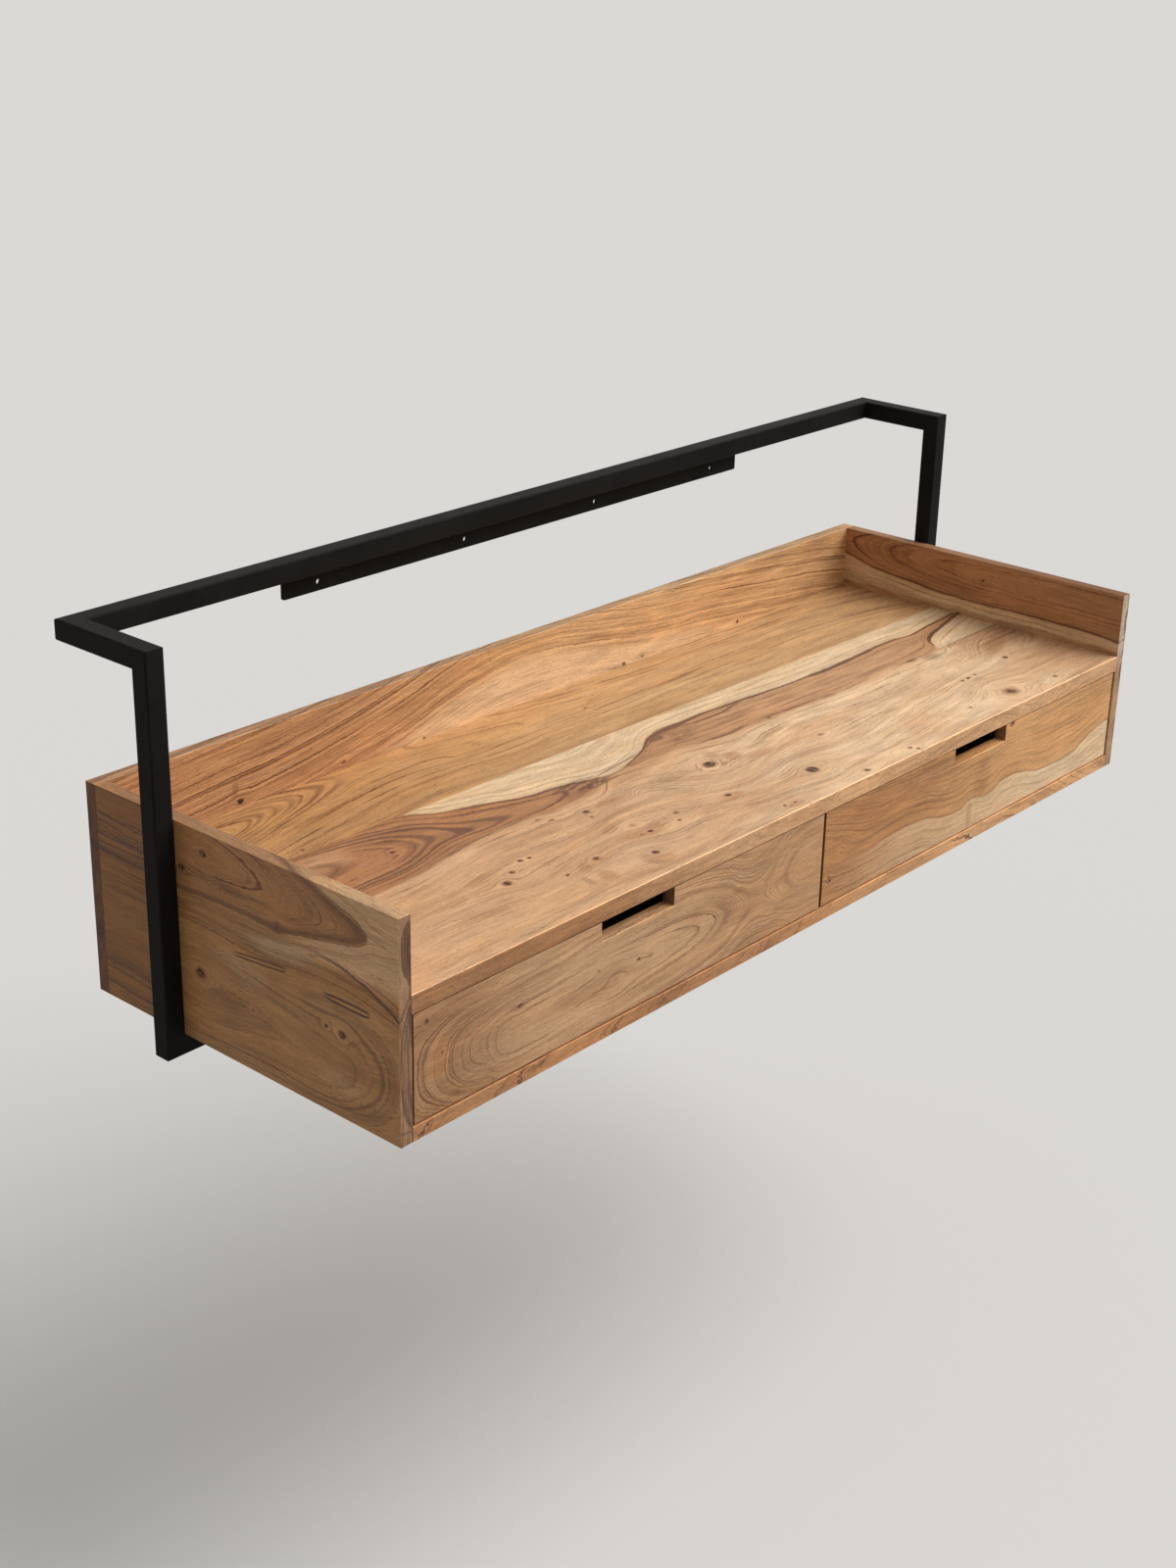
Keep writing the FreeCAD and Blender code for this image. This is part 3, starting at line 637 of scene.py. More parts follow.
# %% Dark marks of the front stave
def front_stave_marks(pen, x, y, true, upper, lower, left, heart):
    """The rim and bold ovals of the figure, a wedge's edge, a crack, stripes, smudges and smoke."""
    rim_width = x.guide([
        (-566, 1), (-300, 1.2), (-240, 2), (-150, 2.2), (-100, 0.8), (-60, 1.2), (-8, 3), (24, 4.6),
        (60, 3), (124, 1.7), (232, 1.4), (294, 3.4), (367, 3.2), (430, 1.5), (566, 1.7),
    ])
    rim = (upper - y - rim_width).stroke(rim_width) * x.fade(-320, -250) * 0.85
    lens_line = x.guide([
        (-69, -214), (-20, -193), (12, -181), (39, -178), (62, -183), (97, -185), (128, -181), (170, -176),
    ])
    lens = (y - lens_line).stroke(1.8) * x.between(-60, -30, 120, 165) * 0.75
    bold = [(-19, 1, 0.65), (-15, 1, 0.72), (-11.8, 0.7, 0.6), (-7, 0.6, 0.45), (-23.5, 0.6, 0.3)]
    ovals = left.strokes(bold) * heart * x.between(-700, -600, -250, -150)
    wedge_edge = (y - lower - 2).stroke(2.6) * x.fade(443, 456) * 0.85
    crack = (true[1] + 206 - (true[0] + 123) * 0.12).stroke(0.9) * x.between(-128, -112, -60, -36)
    stripes = [(-237, 1.6, 0.7), (-247, 1, 0.4), (-256, 1.4, 0.5), (-266, 2.4, 0.6), (-279, 1.2, 0.35)]
    stripes = true[1].strokes(stripes) * x.fade(450, 540) * 0.8
    smudges = patches(x, y, [
        (-309, -358, 6, 14, 0.4), (-228, -370, 7, 11, 0.35), (387, -238, 11, 5, 0.7),
        (414, -246, 18, 12, 0.45), (224, -238, 18, 5, 0.55), (387, -336, 11, 8, 0.4),
        (232, -310, 20, 5, 0.3), (-172, -221, 36, 11, 0.4), (-190, -196, 26, 5, 0.45),
        (60, -232, 40, 4, 0.5), (330, -228, 60, 3, 0.4), (-355, -25, 14, 5, 0.25),
    ])
    smoke = patches(x, y, [
        (-156, -206, 42, 8, 0.95), (-140, -219, 44, 10, 0.88), (-4, -188, 16, 10, 0.9),
        (16, -207, 30, 8, 0.6), (30, -192, 34, 13, 0.5), (96, -205, 60, 8, 0.3),
    ])
    smoke = smoke * pen.noise(x / 13, y / 5, 3, 3).fade(0.38, 0.58, 0.3, 1)
    return most(rim, lens, ovals, wedge_edge, crack * 0.9, stripes, smudges * 0.8, smoke)


# %% Worktop
def worktop_figure(pen, x, y, below, true):
    """Both staves, either side of their glue line. Sapwood lies above the figure's upper rim, in
    a wedge at the right, and as pale clouds towards the front."""
    glue_line = true[0] * -0.0115 - 140.5
    front_stave = (glue_line - true[1]).fade(-0.35, 0.35)
    front_part = y.fade(-230, -250)
    front_edge = faces(pen, Y, -1)
    upper, lower = front_stave_rims(x)
    left, front_ring = front_stave_rings(x, y, below, upper, lower)
    back_ring = back_stave_rings(x, y, below)
    heart, heart_tone = worktop_heart(pen, x, y, true, upper, lower)
    front_marks = front_stave_marks(pen, x, y, true, upper, lower, left, heart) * front_stave
    back_marks = back_stave_marks(x, y, back_ring) * (1 - front_stave)
    sap_above = (y - upper).fade(-0.5, 1) * x.fade(-345, -300)
    sap_wedge = (lower - y).fade(0, 2) * x.fade(438, 450) * true[1].fade(-236, -234.5)
    blotch = pen.noise(x / 90, y / 34, 7)
    pale = x.guide([
        (-566, 0.05), (-300, 0.1), (-100, 0.3), (60, 0.62), (330, 0.85), (430, 0.75), (500, 0.35),
        (566, 0.15),
    ])
    pale = most(pale * blotch.fade(0.25, 0.6), pale * 0.45) * front_part
    sap = most(sap_above, sap_wedge) * front_stave
    sap = most(sap, pale * 0.45 * front_stave) * (1 - front_edge)
    honey = pen.blend(x.fade(-420, 150), HONEY, PALE_HONEY)
    ground = pen.blend(front_stave, honey, pen.blend(pale, ROSY_TAN, PALE_TAN))
    edge_tone = pen.blend(x.fade(-380, -60), (0.45, 0.22, 0.095), (0.74, 0.43, 0.215))
    ground = pen.blend(front_edge, ground, edge_tone)
    quiet = x.guide([(-566, 0.85), (-330, 0.8), (-200, 0.6), (350, 0.55), (566, 0.85)])
    busy = 0.46 + (1 - front_part) * (0.1 + x.fade(-100, -240) * 0.18)
    return {
        "ring": back_ring + (front_ring - back_ring) * front_stave,
        "sap": sap,
        "heart": heart_tone * front_stave,
        "stain": most(front_marks, back_marks),
        "ground": ground,
        "contrast": quiet + (busy - quiet) * front_stave,
        "light": 1 + x.between(10, 130, 390, 480) * y.fade(-180, -290) * 0.09,
    }


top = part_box("worktop")[1].z * MM
plan = LENGTH_X_FACE_Z, (top, -1), worktop_figure, WORKTOP_KNOTS, WORKTOP_EDDIES
acacia_board("worktop", "worktop acacia", *plan)

# %% [markdown]
# ## The back panel
#
# The raised back is the boldest board of the desk: orange-brown, with thin dark lines that rise
# from the left to a crest in the middle and fall away again, over a lens of lighter wood.

# %% Back panel
BACK_KNOTS = [
    (-416, 143, 3, 1), (-283, 144, 2.4, 0.93), (-172, 139, 1.5, 0.97), (143, 139, 2.2, 1),
    (175, 141, 1.8, 0.93), (350, 139, 2, 0.98), (-210, 62, 5, 1), (318, 48, 6, 1),
]


def back_figure(pen, x, z, below, true):
    """Rings are heights above one crest line, and the lens is the band where they are highest."""
    crest = x.guide([
        (-580, -82), (-450, -72), (-372, -66), (-309, -57), (-256, -47), (-200, -35), (-137, -18),
        (-75, -5), (-28, 0), (10, -1), (50, -5), (90, -11), (125, -16), (161, -22), (214, -28), (321, -37),
        (464, -51), (580, -68),
    ])
    ring = z - crest + below * 0.8
    lens = ring.fade(192, 172) * x.between(-330, -90, 240, 430)
    ground = pen.blend(x.fade(-330, 60), (0.68, 0.36, 0.168), (0.87, 0.52, 0.248))
    ground = pen.blend(lens, ground, (0.9, 0.61, 0.35))
    plume = patch(x, z, (-421, 156), (5, 14)) * 0.35
    bold = [(240, 0.9, 0.5), (232, 0.7, 0.35), (222, 0.8, 0.45), (205, 0.9, 0.5), (189.5, 0.8, 0.4)]
    left_end = faces(pen, X, -1)
    # Painted shade: the left end gets a deep orange ground and 62% less light, and the top edge 28% less
    # light. End grain is also darker for real.
    ground = pen.blend(left_end, ground, (0.64, 0.225, 0.04))
    blotches = patches(z, below / (1 + END_STRETCH), [
        (174, 10, 13, 7, 0.55), (150, 7, 8, 10, 0.65), (127, 6, 10, 8, 0.65), (94, 8, 8, 8, 0.6),
        (64, 7, 14, 7, 0.85),
    ])
    return {
        "ring": ring * 2.5,
        "ground": ground,
        "stain": most(plume, ring.strokes(bold) * 0.75, blotches * left_end * 0.85),
        "contrast": x.fade(-260, 0, 1.25, 0.88) - lens * 0.5,
        "light": (1 - faces(pen, Z) * 0.28) * (1 - left_end * 0.62),
    }


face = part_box("back_panel")[0].y * MM
acacia_board("back_panel", "back acacia", LENGTH_X_FACE_Y, (face, 1), back_figure, BACK_KNOTS, (), (6, 2))

# %% [markdown]
# ## The side panels
#
# The left panel shows a dark tongue of heartwood near its top edge, pointing forward, and a large
# pale oval at the lower front corner. Two piths make them. The inner face of the right panel is
# brown above a strip of sapwood, with a tongue of its own that points back.

# %% Rings of the left side panel
LEFT_KNOTS = [
    (-332, 81, 3.3, 1), (-312, 83, 1.7, 1), (-161, 189, 3.4, 1), (-131, 168, 3.3, 1),
    (-182, 165, 1.4, 0.97), (-150, 70, 5.2, 0.97), (-219, 61, 1.8, 0.93), (-254, 153, 2.6, 0.93),
]
LEFT_EDDIES = [(-322, 86, 16, 0.5), (-150, 70, 15, 0.5)]


def left_side_rings(y, z, below):
    """The tongue's ovals and the large oval's, melted into each other. ahead is how far a place
    lies in front of the tongue's tip."""
    upper = y.guide([
        (-400, 181), (-369, 181), (-362, 183), (-355, 187), (-344, 191), (-317, 200), (-289, 210),
        (-200, 236), (0, 250),
    ])
    lower = y.guide([
        (-400, 177), (-369, 177), (-362, 174.5), (-355, 170), (-336, 163), (-308, 157), (-280, 152),
        (-261, 150), (-205, 151), (-164, 149), (-122, 145), (-75, 146), (0, 151),
    ])
    tips = y.guide([(-400, 179), (-336, 177), (-290, 177), (-250, 181), (-206, 186), (-150, 190), (0, 200)])
    plunge = y.guide([
        (-400, 1.4), (-363, 1.6), (-350, 3), (-336, 4.6), (-318, 6.6), (-300, 9), (-290, 11), (-270, 14),
        (-230, 18), (-180, 20.5), (-120, 21.5), (0, 22),
    ])
    ahead = most(-363 - y, 0)
    tongue = nested_ovals(z, below, upper, lower, tips, plunge)
    oval_top = y.guide([(-400, 106), (-350, 112), (0, 112)])
    oval_foot = y.guide([(-400, -8), (-340, -13), (-250, -8), (0, -4)])
    oval_tips = y.guide([(-400, 55), (-300, 54), (0, 50)])
    oval_plunge = y.guide([(-400, 3), (-375, 6.2), (-350, 8.4), (-317, 10.5), (-233, 12), (0, 12.5)])
    oval = nested_ovals(z, below, oval_top, oval_foot, oval_tips, oval_plunge)
    return soft_least(tongue + ahead * 0.15, oval, 7), tongue + ahead * 1.3, oval, lower


# %% Marks of the left side panel
def left_side_slits(along, across):
    """Two long open slits, each drawn as a thin ring round a flat lens."""
    slit_one = along.guide([(-366, 0), (-355, 2.6), (-325, 2.4), (-306, 0)])
    slit_one = (abs(across - 110) - slit_one).stroke(1.3)
    slit_one = slit_one * along.between(-368, -362, -316, -305)
    slit_two = along.guide([(-265, 0), (-255, 2), (-210, 1.8), (-192, 0)])
    slope = 115 - (along + 264) * 0.11
    slit_two = (abs(across - slope) - slit_two).stroke(1)
    return slit_one, slit_two * along.between(-266, -260, -205, -192) * 0.95


def left_end_marks(z, depth):
    """Rings on the front end: a lens at the top, a fork below it and a stack of bows."""
    belly = z.guide([
        (140, 14.5), (150, 10), (161, 5.2), (172, 3.4), (184, 3.2), (194, 5), (203, 9), (210, 13),
    ])
    lens = (depth - belly).fade(-0.4, 1.4) * 0.76
    lens = most(lens, (depth - belly).stroke(0.9) * 0.8) * z.between(140, 146, 202, 209)
    fork = (z - 114 - depth * 1.7).stroke(2.2) * 0.75
    bow = z.guide([(8, 16), (15, 12.5), (25, 7), (45, 2.6), (76, 0.9), (101, 3.2), (116, 7.5), (132, 13.5)])
    bows = [(0, 0.8, 0.8), (2, 0.4, 0.45), (3.6, 0.6, 0.6), (5.8, 0.5, 0.45), (8.2, 0.8, 0.6)]
    bows = most((depth - bow).strokes(bows), (depth - bow).fade(0, 1.5, 0, 0.24))
    bows = most(bows, (depth - bow).between(-0.4, 0.6, 2.2, 4.6) * z.fade(66, 34) * 0.66)
    bows = most(bows * z.fade(7, 14), (z - 12.5).stroke(1.5) * 0.5)
    return most(lens, fork, bows)


def left_side_marks(y, z, true, tongue, oval, lower, heart, front_end):
    """Dark lines along the tongue's rims, the seam under it and the large oval."""
    rim = tongue.fade(-5.8, -1.8) * heart
    second_rim = (tongue + 10.2).stroke(1) * 0.32 * y.fade(-235, -285)
    lower_rim = (z - lower - 0.8).stroke(2.4) * y.fade(-330, -270)
    seam = y.guide([(-400, 114), (-372, 124), (-344, 133), (-325, 137), (-297, 140), (-253, 143), (0, 143)])
    seam = (z - seam).stroke(2.4) * y.fade(-255, -345)
    under_seam = y.guide([(-400, 124), (-358, 135), (-330, 138), (0, 141)])
    under_seam = (z - under_seam).stroke(0.9) * y.fade(-325, -355)
    slits = left_side_slits(*true)
    oval_line = (oval + 6.4).stroke(0.3) * 1.2 + (oval + 4.6).stroke(0.7) * 0.5
    oval_line = oval_line * y.fade(-225, -330)
    sole = y.guide([(-400, 33), (-372, 21), (-340, 14), (-300, 11), (-200, 6), (0, 2)])
    ledge = y.guide([(-330, 19), (-250, 17), (-180, 17), (0, 19)])
    foot_lines = (z - sole).stroke(1.2) * 0.9
    foot_lines = most(foot_lines, (z - ledge).stroke(1.6) * y.fade(-330, -190))
    marks = most(rim * 0.66, second_rim * heart, lower_rim * 0.62, seam * (1 - front_end) * 0.82)
    marks = most(marks, under_seam * (1 - front_end) * 0.55, *slits)
    return most(marks, oval_line * 0.42, foot_lines * 0.42)


# %% Left side panel
def left_side_figure(pen, y, z, below, true):
    """The dark tongue is heartwood. The wood behind the post is calmer, and darker partly in its own
    tone and partly by painted shade of the post. Pale wood shows at the upper front corner."""
    ring, tongue, oval, lower = left_side_rings(y, z, below)
    heart = tongue.fade(0.8, -1.4)
    front_end = faces(pen, Y, -1)
    behind_post = y.fade(-125, -85)
    marks = left_side_marks(y, z, true, tongue, oval, lower, heart, front_end)
    straight = [
        (185, 1, 0.6), (165, 0.9, 0.5), (157, 1.1, 0.7), (148, 0.9, 0.6), (31, 1.6, 0.5), (15, 1.4, 0.75),
    ]
    marks = most(marks, z.strokes(straight) * behind_post)
    marks = most(marks, left_end_marks(z, below / (1 + END_STRETCH)) * front_end)
    top_edge = faces(pen, Z)
    pale_corner = tongue.fade(0.5, 3) * z.fade(126, 140) * y.fade(-240, -340)
    streak = (z - 53).stroke(2.6) * y.between(-196, -180, -100, -60)
    # Painted sheen: pale grey patches laid in through the sapwood tone.
    grey_sheen = patches(y, z, [
        (-262, 128, 60, 14, 0.44), (-205, 92, 50, 16, 0.24), (-330, 40, 34, 20, 0.2),
    ])
    brown_cloud = patches(y, z, [
        (-290, 66, 46, 14, 0.3), (-175, 140, 50, 9, 0.24), (-172, 56, 30, 20, 0.22),
    ])
    ground = pen.blend(y.fade(-330, -150), (0.6, 0.305, 0.12), (0.56, 0.28, 0.108))
    inside_oval = oval.fade(-2, -5.5)
    calm_middle = abs(z - 92).fade(30, 62, -0.14, 0.5)
    ground = pen.blend(pale_corner, ground, (0.92, 0.53, 0.265))
    # Painted shade of the post, in part: a darker ground behind it, and 32% less light below.
    ground = pen.blend(behind_post, ground, (0.545, 0.24, 0.066))
    ground = pen.blend(front_end, ground, (0.6, 0.345, 0.185))
    busy = 0.74 - inside_oval * 0.2 + behind_post * calm_middle - pale_corner * 0.4
    busy = busy - tongue.fade(-13, -17) * 0.25
    shaded = top_edge * y.fade(-40, -110)
    return {
        "ring": ring * 2,
        "heart": most(heart * 0.43, streak * 0.3, brown_cloud),
        "sap": most(pale_corner * 0.25, grey_sheen, top_edge * 0.2),
        "stain": marks,
        "ground": ground,
        "contrast": busy * (1 - top_edge * 0.75),
        "light": (1 - behind_post * 0.32 + heart * 0.08) * (1 - shaded * 0.34) * (1 - front_end * 0.2),
    }


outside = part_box("left_side_panel")[0].x * MM
plan = LENGTH_Y_FACE_X, (outside, 1), left_side_figure, LEFT_KNOTS, LEFT_EDDIES
acacia_board("left_side_panel", "left side acacia", *plan)


# %% Right side panel
def right_side_figure(pen, y, z, below, true):
    """Ovals above an edge line make the brown tongue. Under the edge runs the strip of sapwood."""
    edge = y.guide([
        (-400, 153), (-344, 156), (-205, 158), (-150, 159), (-108, 162), (-67, 166), (-39, 172), (0, 181),
    ])
    upper = y.guide([(-400, 240), (-150, 228), (0, 214)])
    tips = y.guide([(-400, 190), (-86, 194), (0, 198)])
    plunge = y.guide([(-400, 21), (-200, 20.5), (-140, 19), (-86, 15), (-61, 11), (-33, 7), (0, 3)])
    ring = nested_ovals(z, below, upper, edge, tips, plunge)
    brown = (z - edge).fade(-0.8, 1.2) * (1 - faces(pen, Y, -1))
    strip = (z - edge).fade(0, -1.6) * z.fade(141, 146)
    bold = [(-15, 0.7, 0.4), (-13.4, 0.5, 0.3), (-11, 0.7, 0.35), (-8.6, 0.5, 0.3), (-6.5, 0.7, 0.28)]
    ovals = ring.strokes(bold) * brown * y.fade(-260, -140)
    rim = (z - edge - 1.5).stroke(1.3) * 0.6
    # Painted highlight: the upper part of the front end gets a pale ground.
    highlight_painted_end = faces(pen, Y, -1) * z.fade(112, 150)
    top_edge = faces(pen, Z)
    # Painted shade: the top edge is painted darker towards the front, down to about half as bright, over a
    # deep orange ground.
    front_top = top_edge * y.fade(-150, -350)
    ground = pen.blend(highlight_painted_end, (0.62, 0.37, 0.185), (0.82, 0.64, 0.49))
    return {
        "ring": ring * 1.5 + 61,
        "heart": brown * 0.63,
        "sap": strip * 0.75,
        "ground": pen.blend(front_top, ground, (0.64, 0.25, 0.06)),
        "stain": most(ovals * 0.75, rim),
        "contrast": y.fade(-260, -120, 0.6, 0.78),
        "light": 1 - top_edge * y.fade(-60, -330, 0.05, 0.52),
    }


RIGHT_KNOTS = [(-215, 187, 1.8, 0.93), (-184, 138, 2.8, 1), (-120, 70, 4, 1)]
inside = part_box("right_side_panel")[0].x * MM
plan = LENGTH_Y_FACE_X, (inside, 1), right_side_figure, RIGHT_KNOTS
acacia_board("right_side_panel", "right side acacia", *plan)

# %% [markdown]
# ## The drawer fronts
#
# Each drawer front is one board. The left one is cut close to a pith, so long ovals fill it and
# open into waves at its right end. The right one shows where heartwood meets sapwood along a
# wavy line that its growth lines copy.

# %% Edges of a drawer front
def gap_shade_on_edges(pen, z):
    """Painted shade in the gaps round a drawer front: its end faces and top edge are painted half as
    bright. End grain is also darker for real, as it drinks more oil.
    """
    ends = abs(facing(pen, X)).fade(*SQUARE_ON)
    top = faces(pen, Z) * z.fade(108, 113)
    return 1 - most(ends, top) * 0.5


# %% Left drawer front
LEFT_FRONT_KNOTS = [
    (-549, 105, 2.6, 0.95), (-531, 69, 1.6, 0.95), (-438, 76, 2, 0.97), (-335, 71, 1.3, 0.95),
    (-281, 63, 2, 0.96), (-312, 53, 6, 0.82),
]


def left_front_figure(pen, x, z, below, true):
    """Squarish ovals round a pith line that stays close under the face from end to end."""
    axis = x.guide([
        (-566, 60), (-478, 55), (-456, 52), (-300, 60), (-155, 62), (-110, 62), (-63, 71), (0, 74),
    ])
    reach = x.guide([
        (-566, 57), (-554, 52), (-542, 48), (-524, 40), (-519, 38), (-494, 29), (-478, 26), (-467, 20),
        (-455, 15), (-442, 13), (-400, 12), (-300, 12), (-260, 14), (-200, 20), (-155, 30), (-125, 42),
        (-110, 44), (-95, 42), (-63, 27), (-50, 20), (-30, 12), (0, 8),
    ])
    squareness = x.guide([(-566, 2.9), (-450, 2.3), (-320, 2.2), (-200, 1.9), (-110, 1.7), (0, 2)])
    ring = squarish_ovals(z, below, axis, reach, squareness)
    bold = [
        (52, 0.7, 0.45), (38.5, 1.1, 0.45), (33, 0.6, 0.25), (26, 0.7, 0.4), (22, 0.5, 0.3),
        (20, 0.6, 0.25),
    ]
    lines = ring.strokes(bold) * x.fade(-330, -450)
    trough = [
        (50.5, 0.5, 0.45), (53.5, 0.4, 0.3), (56.5, 0.5, 0.4), (61, 0.5, 0.4), (64, 0.4, 0.3),
        (67, 0.5, 0.35),
    ]
    waves = ring.strokes(trough) * x.fade(-240, -160) * 1.35
    right_tip = (ring - 31).stroke(2.2) * x.between(-190, -160, -135, -120) * 0.45
    eye = (ring - 26).stroke(3.2) * x.fade(-75, -62) * x.fade(-34, -54) * 0.42
    dash = (z - 61 + (x + 270) * 0.12).stroke(0.9) * x.between(-286, -278, -266, -258)
    orange = patch(x, z, (-533, 65), (16, 24))
    busy = 0.62 + x.fade(-470, -545) * 0.26
    ground = pen.blend(x.fade(-520, -400), (0.47, 0.255, 0.125), (0.68, 0.405, 0.212))
    ground = pen.blend(x.fade(-260, -60), ground, (0.63, 0.355, 0.172))
    ground = pen.blend(orange * 0.6, ground, (0.62, 0.29, 0.11))
    return {
        "ring": ring * 1.6 + 37,
        "ground": ground,
        "heart": patch(x, z, (-137, 60), (32, 16)) * 0.25,
        "stain": most(lines, waves, right_tip, eye, dash * 0.7) * 0.72,
        "contrast": busy * ring.fade(14, 26, 0.36, 1) * x.fade(-110, -60, 1, 0.75),
        "light": gap_shade_on_edges(pen, true[1]),
    }


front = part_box("left_drawer_front")[0].y * MM
plan = LENGTH_X_FACE_Y, (front, 1), left_front_figure, LEFT_FRONT_KNOTS, (), (8, 2.2)
acacia_board("left_drawer_front", "left front acacia", *plan)

# %% Right drawer front
RIGHT_FRONT_KNOTS = [(12, 44, 1.5, 0.98), (14, 40, 1.6, 0.98), (345, 117, 3.2, 0.97)]


def right_front_figure(pen, x, z, below, true):
    """Rings copy the wavy edge of the sapwood, less and less with the height above it."""
    edge = x.guide([
        (0, 58), (37, 55), (73, 53), (109, 55), (145, 56), (173, 55), (202, 49), (230, 44), (248, 43),
        (270, 49), (284, 48), (305, 45), (323, 49), (345, 53), (373, 51), (395, 46), (430, 41), (466, 41),
        (502, 48), (530, 55), (566, 60),
    ])
    copies = (z - edge).fade(75, 8)
    corner = x.guide([(0, 24), (40, 13), (80, 4), (120, 0), (566, 0)]) * z.fade(58, 85)
    ring = z - (edge - 50) * copies - corner + below * 0.8
    sap = (z - edge).fade(0.5, -1.2) * x.fade(-20, 170)
    swirl = patch(x, z, (291, 70), (22, 26)) * 0.4
    smudge = patch(x, z, (270, 32), (7, 20)) * 0.4
    brown = patches(x, z, [(150, 66, 120, 16, 0.24), (120, 92, 120, 26, 0.2)])
    rim = (z - edge - 0.6).stroke(0.9) * x.fade(20, 110) * 0.42
    ground = pen.blend(x.fade(40, 420), (0.61, 0.29, 0.112), (0.83, 0.44, 0.178))
    return {
        "ring": ring * 3.1,
        "sap": sap * x.fade(120, 440, 0.5, 0.9),
        "heart": most(swirl, smudge, brown),
        "stain": rim,
        "contrast": x.fade(120, 420, 0.86, 0.58),
        "ground": ground,
        "light": (1 + sap * x.fade(150, 460) * 0.13) * gap_shade_on_edges(pen, true[1]),
    }


plan = LENGTH_X_FACE_Y, (front, 1), right_front_figure, RIGHT_FRONT_KNOTS
acacia_board("right_drawer_front", "right front acacia", *plan)

# %% Bottom board
BOTTOM_KNOTS = [(-330, -120, 4.5, 1), (210, -260, 5.5, 1), (395, -90, 3.2, 1), (-90, -330, 3, 1)]


def bottom_figure(pen, x, y, below, true):
    """A plain cathedral: the pith line comes up to 12 mm under the face and dives again."""
    axis = x.guide([(-566, -150), (-200, -190), (150, -230), (566, -200)])
    depth = x.guide([(-566, 60), (-300, 30), (-60, 12), (200, 34), (566, 80)])
    ring = log_rings(y, below, axis, depth)
    ground = pen.blend(x.fade(-160, 380), (0.545, 0.262, 0.112), (0.82, 0.455, 0.21))
    return {"ring": ring, "contrast": 0.7, "ground": ground}


acacia_board("bottom_board", "bottom acacia", LENGTH_X_FACE_Z, (BOX_BOTTOM, 1), bottom_figure, BOTTOM_KNOTS)

# %% [markdown]
# ## The plain woods inside
#
# Drawer boxes, the divider and the dowels are never in full view, so they are quiet, pale,
# straight-grained woods. One function makes them all: the same fibre noise, stretched along the
# board, between two near tones.

# %% Plain wood
def plain_wood(name, axes, light, dark, streak=1.6):
    """Straight-grained wood: noise stretched 60 to 1 along the grain picks between two tones."""
    material, pen, shader, xyz = new_finish(name)
    along, across, deep = (xyz[axis] for axis in axes)
    sway = pen.noise(along / 220, across / 60, deep / 60, 1) * 10
    grain = pen.noise(along / (60 * streak), (across + sway) / streak, deep / streak, 4)
    lines = pen.noise_along((across + sway) / 7)
    tone = (grain.fade(0.3, 0.7) * 0.5 + lines.fade(0.4, 0.7) * 0.5).clamp()
    colour = pen.blend(tone, light, dark)
    rough = grain.fade(0.3, 0.7, 0.5, 0.62)
    finish(pen, shader, colour, rough, grain, strength=0.4, depth=0.0003, specular=0.3)
    return material


PALE_TONES = (0.66, 0.47, 0.28), (0.5, 0.32, 0.17)
FLOOR_TONES = (0.63, 0.46, 0.29), (0.52, 0.35, 0.2)
DIVIDER_TONES = (0.58, 0.39, 0.22), (0.4, 0.24, 0.12)
DOWEL_TONES = (0.62, 0.42, 0.25), (0.5, 0.31, 0.17)
side_wood = plain_wood("drawer side wood", LENGTH_Y_FACE_X, *PALE_TONES)
back_wood = plain_wood("drawer back wood", LENGTH_X_FACE_Y, *PALE_TONES)
floor_wood = plain_wood("drawer floor wood", LENGTH_X_FACE_Z, *FLOOR_TONES, 2.4)
divider_wood = plain_wood("divider wood", LENGTH_Y_FACE_X, *DIVIDER_TONES)
dowel_wood = plain_wood("dowel wood", LENGTH_Y_FACE_X, *DOWEL_TONES, 0.6)
for drawer in ("left_drawer", "right_drawer"):
    dress(side_wood, f"{drawer}_left_side", f"{drawer}_right_side")
    dress(back_wood, f"{drawer}_back")
    dress(floor_wood, f"{drawer}_bottom")
    dress(dowel_wood, f"{drawer}_dowels")
dress(divider_wood, "centre_divider")
dress(dowel_wood, "carcass_dowels")
print("plain woods on the drawer boxes, the divider and the dowels")


# %% [markdown]
# ## Steel
#
# The frame is powder coated: black, satin, with a very fine orange-peel texture. Powder coat is
# plastic on metal, so it is not a metallic shader. The slides and screws are zinc plated: there
# the shader is metallic, a little cloudy, with faint rolling marks along the sheet.

# %% Powder coat
def powder_coat(name, black):
    """Paint with two near tones in slow clouds, and a peel of noise under 1 mm wide as its bump."""
    material, pen, shader, (x, y, z) = new_finish(name)
    peel = pen.noise(x / 0.9, y / 0.9, z / 0.9)
    cloud = pen.noise(x / 60, y / 60, z / 60)
    colour = pen.blend(cloud.fade(0.35, 0.65), black, [part * 1.3 for part in black])
    rough = cloud.fade(0.3, 0.7, 0.42, 0.52) + (peel - 0.5) * 0.1
    finish(pen, shader, colour, rough, peel, strength=0.35, depth=0.0001, specular=0.03)
    return material


# %% Plated steel
def plated_steel(name, tone, rough, swell):
    """Metal with two near tones in slow clouds. Noise of the given swell in mm roughens it."""
    material, pen, shader, (x, y, z) = new_finish(name)
    marks = pen.noise(x / swell[0], y / swell[1], z / swell[2], 3)
    cloud = pen.noise(x / 22, y / 22, z / 22)
    colour = pen.blend(cloud.fade(0.35, 0.65), tone, [part * 0.9 for part in tone])
    rough = rough + (marks - 0.5) * 0.2
    finish(pen, shader, colour, rough, marks, strength=0.2, depth=0.0001, specular=0.5)
    shader.inputs["Metallic"].default_value = 1
    return material


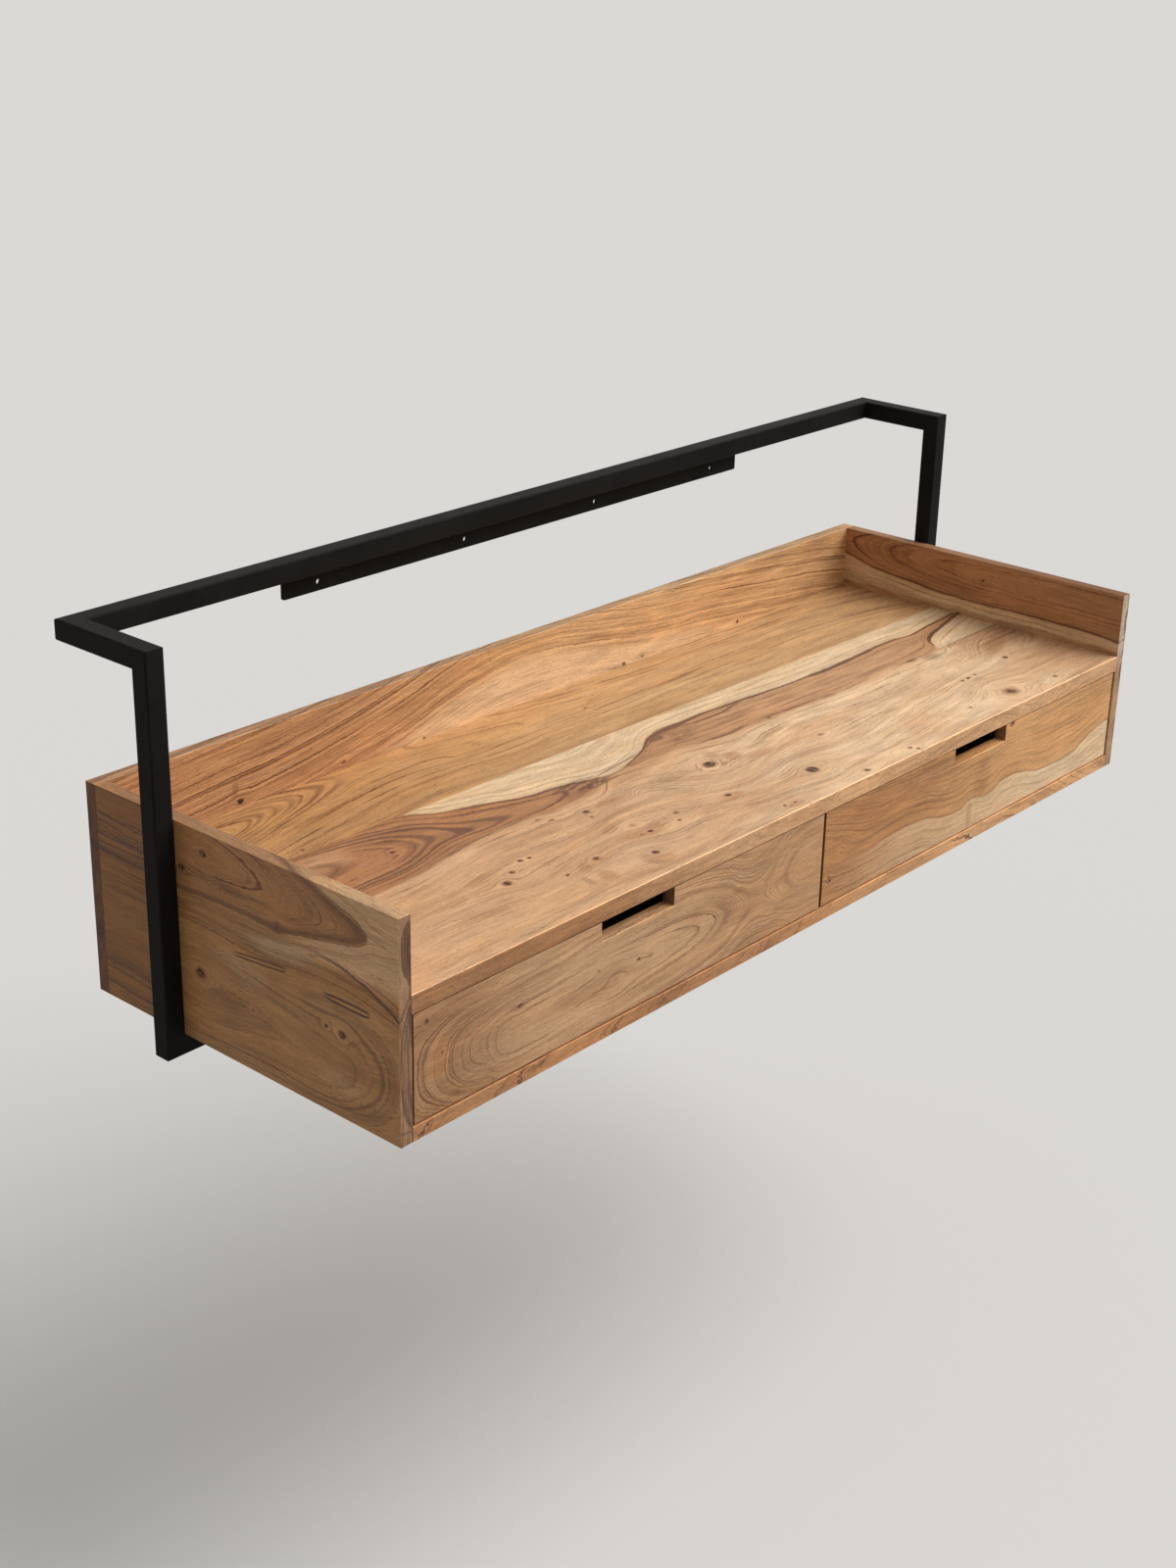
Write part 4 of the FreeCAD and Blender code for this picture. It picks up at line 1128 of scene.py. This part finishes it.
powder = powder_coat("black powder coat", (0.011, 0.0104, 0.0096))
PLATED = {
    "_member": plated_steel("zinc plated slide", (0.66, 0.67, 0.69), 0.36, (0.8, 30, 0.8)),
    "_ball_cage": plated_steel("ball cage steel", (0.6, 0.55, 0.44), 0.42, (0.8, 20, 0.8)),
    "_balls": plated_steel("bearing ball steel", (0.72, 0.72, 0.74), 0.16, (4, 4, 4)),
    "_screws": plated_steel("black screw steel", (0.07, 0.07, 0.075), 0.38, (2, 2, 2)),
}
dress(powder, "frame_top_rail", "frame_bottom_rail", "wall_strip")
for side in ("left", "right"):
    dress(powder, f"frame_{side}_arm", f"frame_{side}_post")
for name in NODES:
    for ending, steel in PLATED.items():
        if name.endswith(ending):
            dress(steel, name)
print("powder coat on the frame and its strip; plated steel on the slides and screws")

# %% [markdown]
# ## Floor, lamps and camera
#
# The floor is a plain pale sheet far below the desk, wide enough to fill the view. One soft sun
# stands high on the right and a little in front; the world fills the shade. For rays that
# light the desk, the floor is darker than it looks, so its bounce stays gentle.

# %% Floor
FLOOR_HEIGHT = -0.95
FLOOR_REACH = 60
FLOOR_BOUNCE = (0.3, 0.29, 0.28)
BACKGROUND = (0.7, 0.685, 0.66)

floor_mesh = bpy.data.meshes.new("floor")
signs = [(-1, -1), (1, -1), (1, 1), (-1, 1)]
corners = [(x * FLOOR_REACH, y * FLOOR_REACH, FLOOR_HEIGHT) for x, y in signs]
floor_mesh.from_pydata(corners, [], [(0, 1, 2, 3)])
floor = bpy.data.objects.new("floor", floor_mesh)
bpy.context.scene.collection.objects.link(floor)

floor_paint = bpy.data.materials.new("floor paint")
floor_paint.use_nodes = True
floor_mesh.materials.append(floor_paint)
floor_pen = Pen(floor_paint.node_tree)
floor_shader = floor_paint.node_tree.nodes["Principled BSDF"]
floor_shader.inputs["Roughness"].default_value = 1
floor_shader.inputs["Specular IOR Level"].default_value = 0


def seen_directly(pen):
    """1 for camera rays and for rays that a glossy or clear surface sends on, otherwise 0."""
    rays = pen.tree.nodes.new("ShaderNodeLightPath")
    kinds = ("Is Camera Ray", "Is Glossy Ray", "Is Transmission Ray")
    return most(*[Value(pen, rays.outputs[kind]) for kind in kinds])


floor_tone = floor_pen.blend(seen_directly(floor_pen), FLOOR_BOUNCE, BACKGROUND)
floor_pen.wire(floor_shader, "Base Color", floor_tone)
print("floor at", FLOOR_HEIGHT, "m")

# %% World and sun
FILL = 0.31
SUN_POWER = 3
SUN_SOFTNESS = 55
SUN_FROM = (0.5, -0.45, 0.72)

world = bpy.data.worlds.new("studio")
bpy.context.scene.world = world
world.use_nodes = True
sky = Pen(world.node_tree)
backdrop = world.node_tree.nodes["Background"]
sky.wire(backdrop, "Color", sky.blend(seen_directly(sky), (FILL, FILL, FILL), BACKGROUND))

sun = bpy.data.lights.new("soft sun", "SUN")
sun.energy = SUN_POWER
sun.angle = math.radians(SUN_SOFTNESS)
sun_object = bpy.data.objects.new("soft sun", sun)
bpy.context.scene.collection.objects.link(sun_object)
sun_object.rotation_euler = Vector(SUN_FROM).to_track_quat("Z", "Y").to_euler()
print("sun from", SUN_FROM)

# %% Camera
SENSOR_WIDTH = 36
FOCAL_LENGTH = 51.277
CAMERA_PLACE = (-1.666693, -1.540530, 0.657754)
CAMERA_TURN = (67.1, -1.169, -48.457)

lens = bpy.data.cameras.new("camera")
lens.sensor_width = SENSOR_WIDTH
lens.lens = FOCAL_LENGTH
camera = bpy.data.objects.new("camera", lens)
camera.location = CAMERA_PLACE
camera.rotation_euler = [math.radians(angle) for angle in CAMERA_TURN]
bpy.context.scene.collection.objects.link(camera)
bpy.context.scene.camera = camera
bpy.context.scene.view_settings.view_transform = "Standard"
print("camera at", tuple(camera.location))
